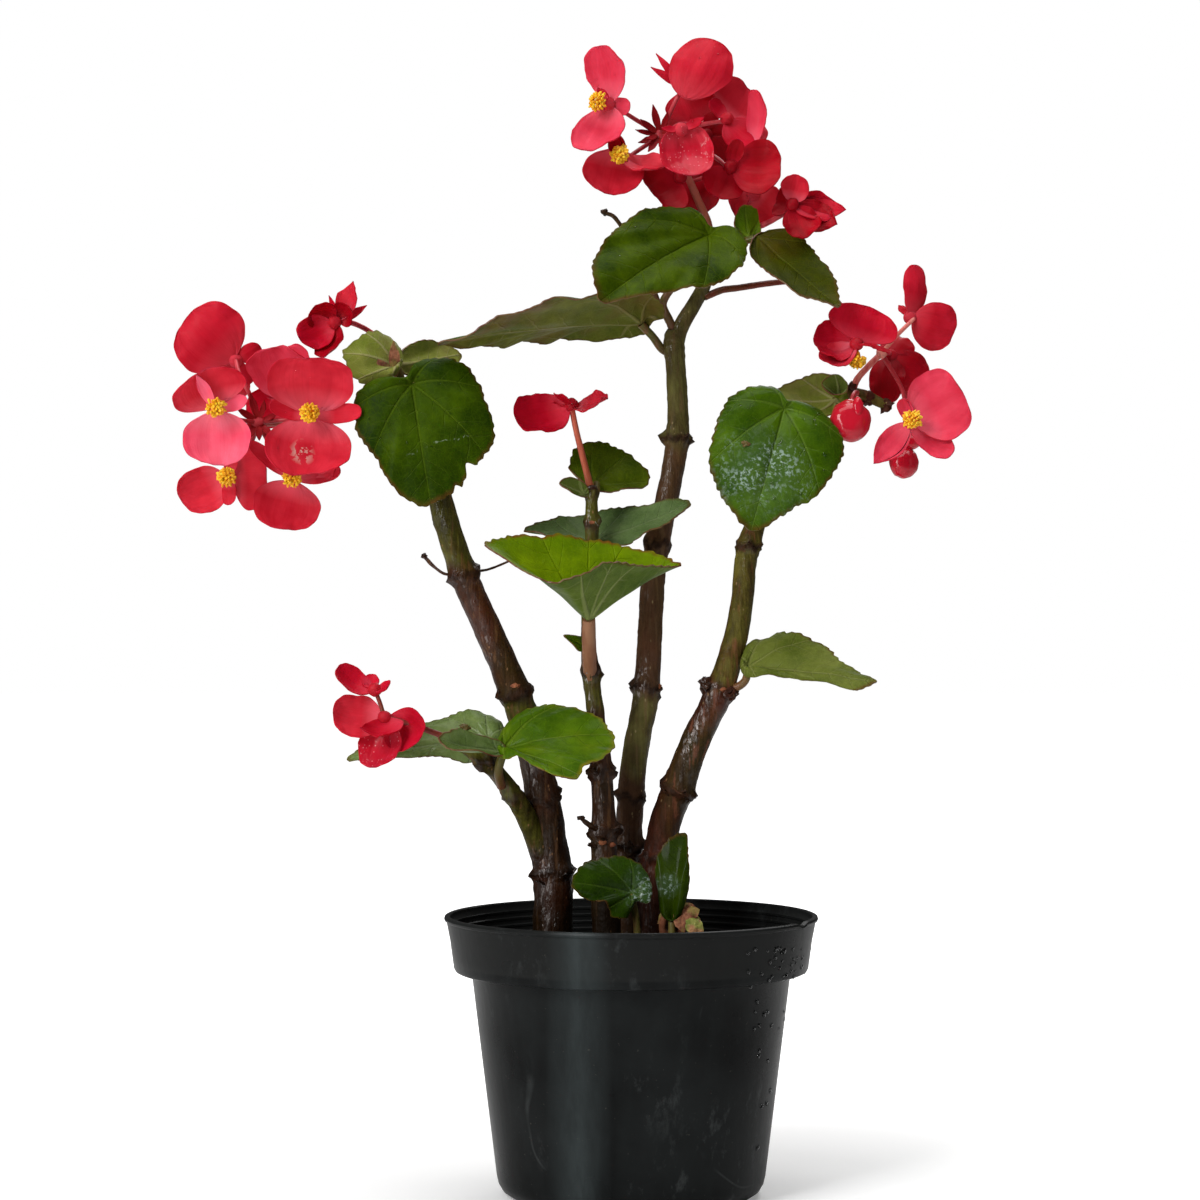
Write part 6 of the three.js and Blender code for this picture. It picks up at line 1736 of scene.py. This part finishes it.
def scale_finish(name, dark, light, blush):
    """Young skin: two tones in fine mottles, a blush in patches, and a short down."""
    f = Finish(name)
    f.base = f.mix(f.patches(330, 0.36, 0.62, 4), paint(*dark), paint(*light))
    f.over(f.patches(170, 0.48, 0.6), paint(*blush), 0.75)
    down = f.noise(1500, 3, stretch=(1, 1, 0.4))
    return f.settle(
        f.ramp(down, 0.3, 0.7, 0.7, 0.45), (f.noise(420), 0.7, 0.0012), (down, 0.6, 0.0005),
        Specular_IOR_Level=0.15, Sheen_Weight=0.15, Subsurface_Weight=0.2,
        Subsurface_Radius=(0.003, 0.0015, 0.001))


def scales(name, rows, face, seed, ruffle):
    """Pointed scales from rows of heart, tip, width and look."""
    return [
        tepal(f"{name}_{count}", (look, look), heart, [*tip, width, -0.4], face, seed + count, ruffle, True)
        for count, (heart, tip, width, look) in enumerate(rows)
    ]


pink = scale_finish("scale_pink_brown", (98, 52, 34), (178, 118, 86), (134, 122, 58))
green = scale_finish("scale_pale_green", (112, 122, 48), (176, 172, 96), (186, 124, 96))
shoot = [
    rod("shoot_stem", [
        [27, -22, 50.4, 2.6], [27, -22, 72, 2.8], [27, -22, 92, 3], [26, -22, 102, 3], [24, -22, 111, 2.8],
        [20, -22, 116, 2.2]], 14, 1.2, (), 0.06, 41),
    rod("shoot_side", [
        [26, -22, 98, 2], [20, -21, 107, 2.2], [17.5, -21, 114, 2.2], [17, -22, 118, 1.4]],
        12, 1.2, (), 0.08, 43),
    rod("shoot_arm", [
        [19, -21, 104, 1.6], [13, -21, 108, 1.7], [12.5, -22, 112, 1.6], [15.5, -23, 117, 1.3]],
        12, 1.0, (), 0.16, 45),
    *scales("shoot_scale", [
        ((17, -24, 117), (11, -1, -7), 6.5, pink), ((18, -23, 118), (9, 2, -2), 5.5, pink),
        ((21, -25, 114.5), (6, 0, 3), 5, pink), ((21, -26, 113.5), (7.5, 0, -5.5), 7, green),
        ((22, -23, 113), (6, 2, -2.5), 6, green), ((15.5, -22, 117.5), (-5, 0, -6), 3.4, pink),
        ((17, -25, 117), (4, -2, -9), 4.4, pink),
    ], [0.1, -1, 0.3], 60, 1.6),
]
put_in_place(join(finished(shoot, shoot_red), "young_shoot"), "young_shoot", "shoot_basal")
print("shoot:", len(shoot), "parts")

# %% [markdown]
# ## The stipules
# Two narrow pinkish-brown scales stand at the left cane's tip, in front of its young leaves.
# They are made as the shoot's scales are.

# %% The stipules
stipules = scales("stipule", [
    ((-94.4, -17, 329), (-0.7, -4, 15.4), 4.4, pink), ((-94.4, -18, 330), (-8.6, -4, 7), 3.6, pink),
], [0, -1, 0.2], 80, 1.2)
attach(smooth(join(stipules, "left_stipules")), "root")
print("stipules:", len(stipules))

# %% [markdown]
# ## Fallen bits
# Two dry brown bits, dropped bud cases, lie on the leaves. A line shot from the front finds
# the place on the leaf, and a small roughened ball is laid there.

# %% Lay the fallen bits
FALLEN = {
    "leaf_right_front_blade": ((45.2, -30, 302.5), 1.3),
    "leaf_branch_long_blade": ((-65.9, -30, 189.9), 1.7),
}


def found(piece, aim):
    """Where a line of sight through a place meets a piece, and the way its face looks there."""
    start = mathutils.Vector(EYE / 1000)
    hit, spot, normal, _ = piece.ray_cast(start, (mathutils.Vector(at(aim)) - start).normalized())
    return (np.array(spot), unit(normal)) if hit else None


for name, (aim, size) in FALLEN.items():
    spot, _ = found(bpy.data.objects[name], aim)
    bit = knob(name.replace("blade", "fallen"), (0, 0, 0), size, 0.3, 51, (1.2, 0.9, 0.8))
    put_corners(bit, corners(bit) + spot)
    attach(smooth(dress(bit, leaf_stalk)), "root")
    print(name, "has a fallen bit")

# %% [markdown]
# ## Raindrops
# The plant has been watered: small drops stand on petals, leaves and the pot's band. A drop is a
# clear, flattened dome. Each is found by a line shot at a piece from the front, and laid on the
# face it meets. One dome of few faces is copied.

# %% Lay the drops
dome, dome_faces = pattern(bpy.ops.mesh.primitive_ico_sphere_add, subdivisions=2, radius=1)
f = Finish("water")
ripple = f.noise(500)
f.base = f.mix(ripple, (0.92, 0.95, 0.96), (1.0, 1.0, 1.0))
water = f.settle(
    f.patches(900, 0.3, 0.7, out=(0.02, 0.06)), (ripple, 0.1, 0.0001), Transmission_Weight=1.0, IOR=1.33)
# Where on each piece drops fall (from x to x, from z to z), how many, and how small and large.
WETTED = {
    "bloom_top_wet_petals": ((14, 30), (412, 434), 20, (0.35, 0.75)),
    "bloom_top_crown_petals": ((20, 42), (440, 468), 14, (0.3, 0.6)),
    "bloom_left_front_petals": ((-142, -118), (296, 332), 8, (0.3, 0.6)),
    "bloom_top_left_petals": ((-20, 0), (418, 462), 5, (0.3, 0.5)),
    "leaf_top_front_blade": ((-8, 40), (366, 394), 14, (0.3, 0.8)),
    "leaf_right_front_blade": ((38, 76), (275, 318), 22, (0.3, 0.9)),
    "leaf_left_front_blade": ((-100, -62), (290, 330), 10, (0.3, 0.6)),
    "leaf_base_round_blade": ((-18, 4), (117, 135), 8, (0.3, 0.7)),
    "moulded_pot": ((42, 72), (30, 112), 150, (0.5, 1.15)),
}
IN_FRONT, DROP_HEIGHT = -120, 0.42
draw = np.random.default_rng(8)
for name, ((x0, x1), (z0, z1), count, sizes) in WETTED.items():
    copies = []
    for _ in range(count):
        x, z = draw.uniform(x0, x1), draw.uniform(z0, z1)
        if name == "moulded_pot":
            x = x1 - (x1 - x0) * draw.uniform(0, 1) ** 1.3
            z = z1 - (z1 - z0) * draw.uniform(0, 1) ** 2.2
        size = draw.uniform(*sizes)
        place = found(bpy.data.objects[name], (x, IN_FRONT, z))
        if place:
            spot, normal = place
            a, b = frame_of(normal)
            flat = dome @ np.array([a, b * draw.uniform(0.9, 1.2), normal * DROP_HEIGHT]) * size / 1000
            copies.append((flat + spot + normal * size * 0.0001, dome_faces))
    if copies:
        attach(smooth(dress(heap(name + "_drops", copies), water)), "root")
        print(name, len(copies), "drops")


# %% [markdown]
# ## The size
# The dressed plant has to fill the same box as its solids.
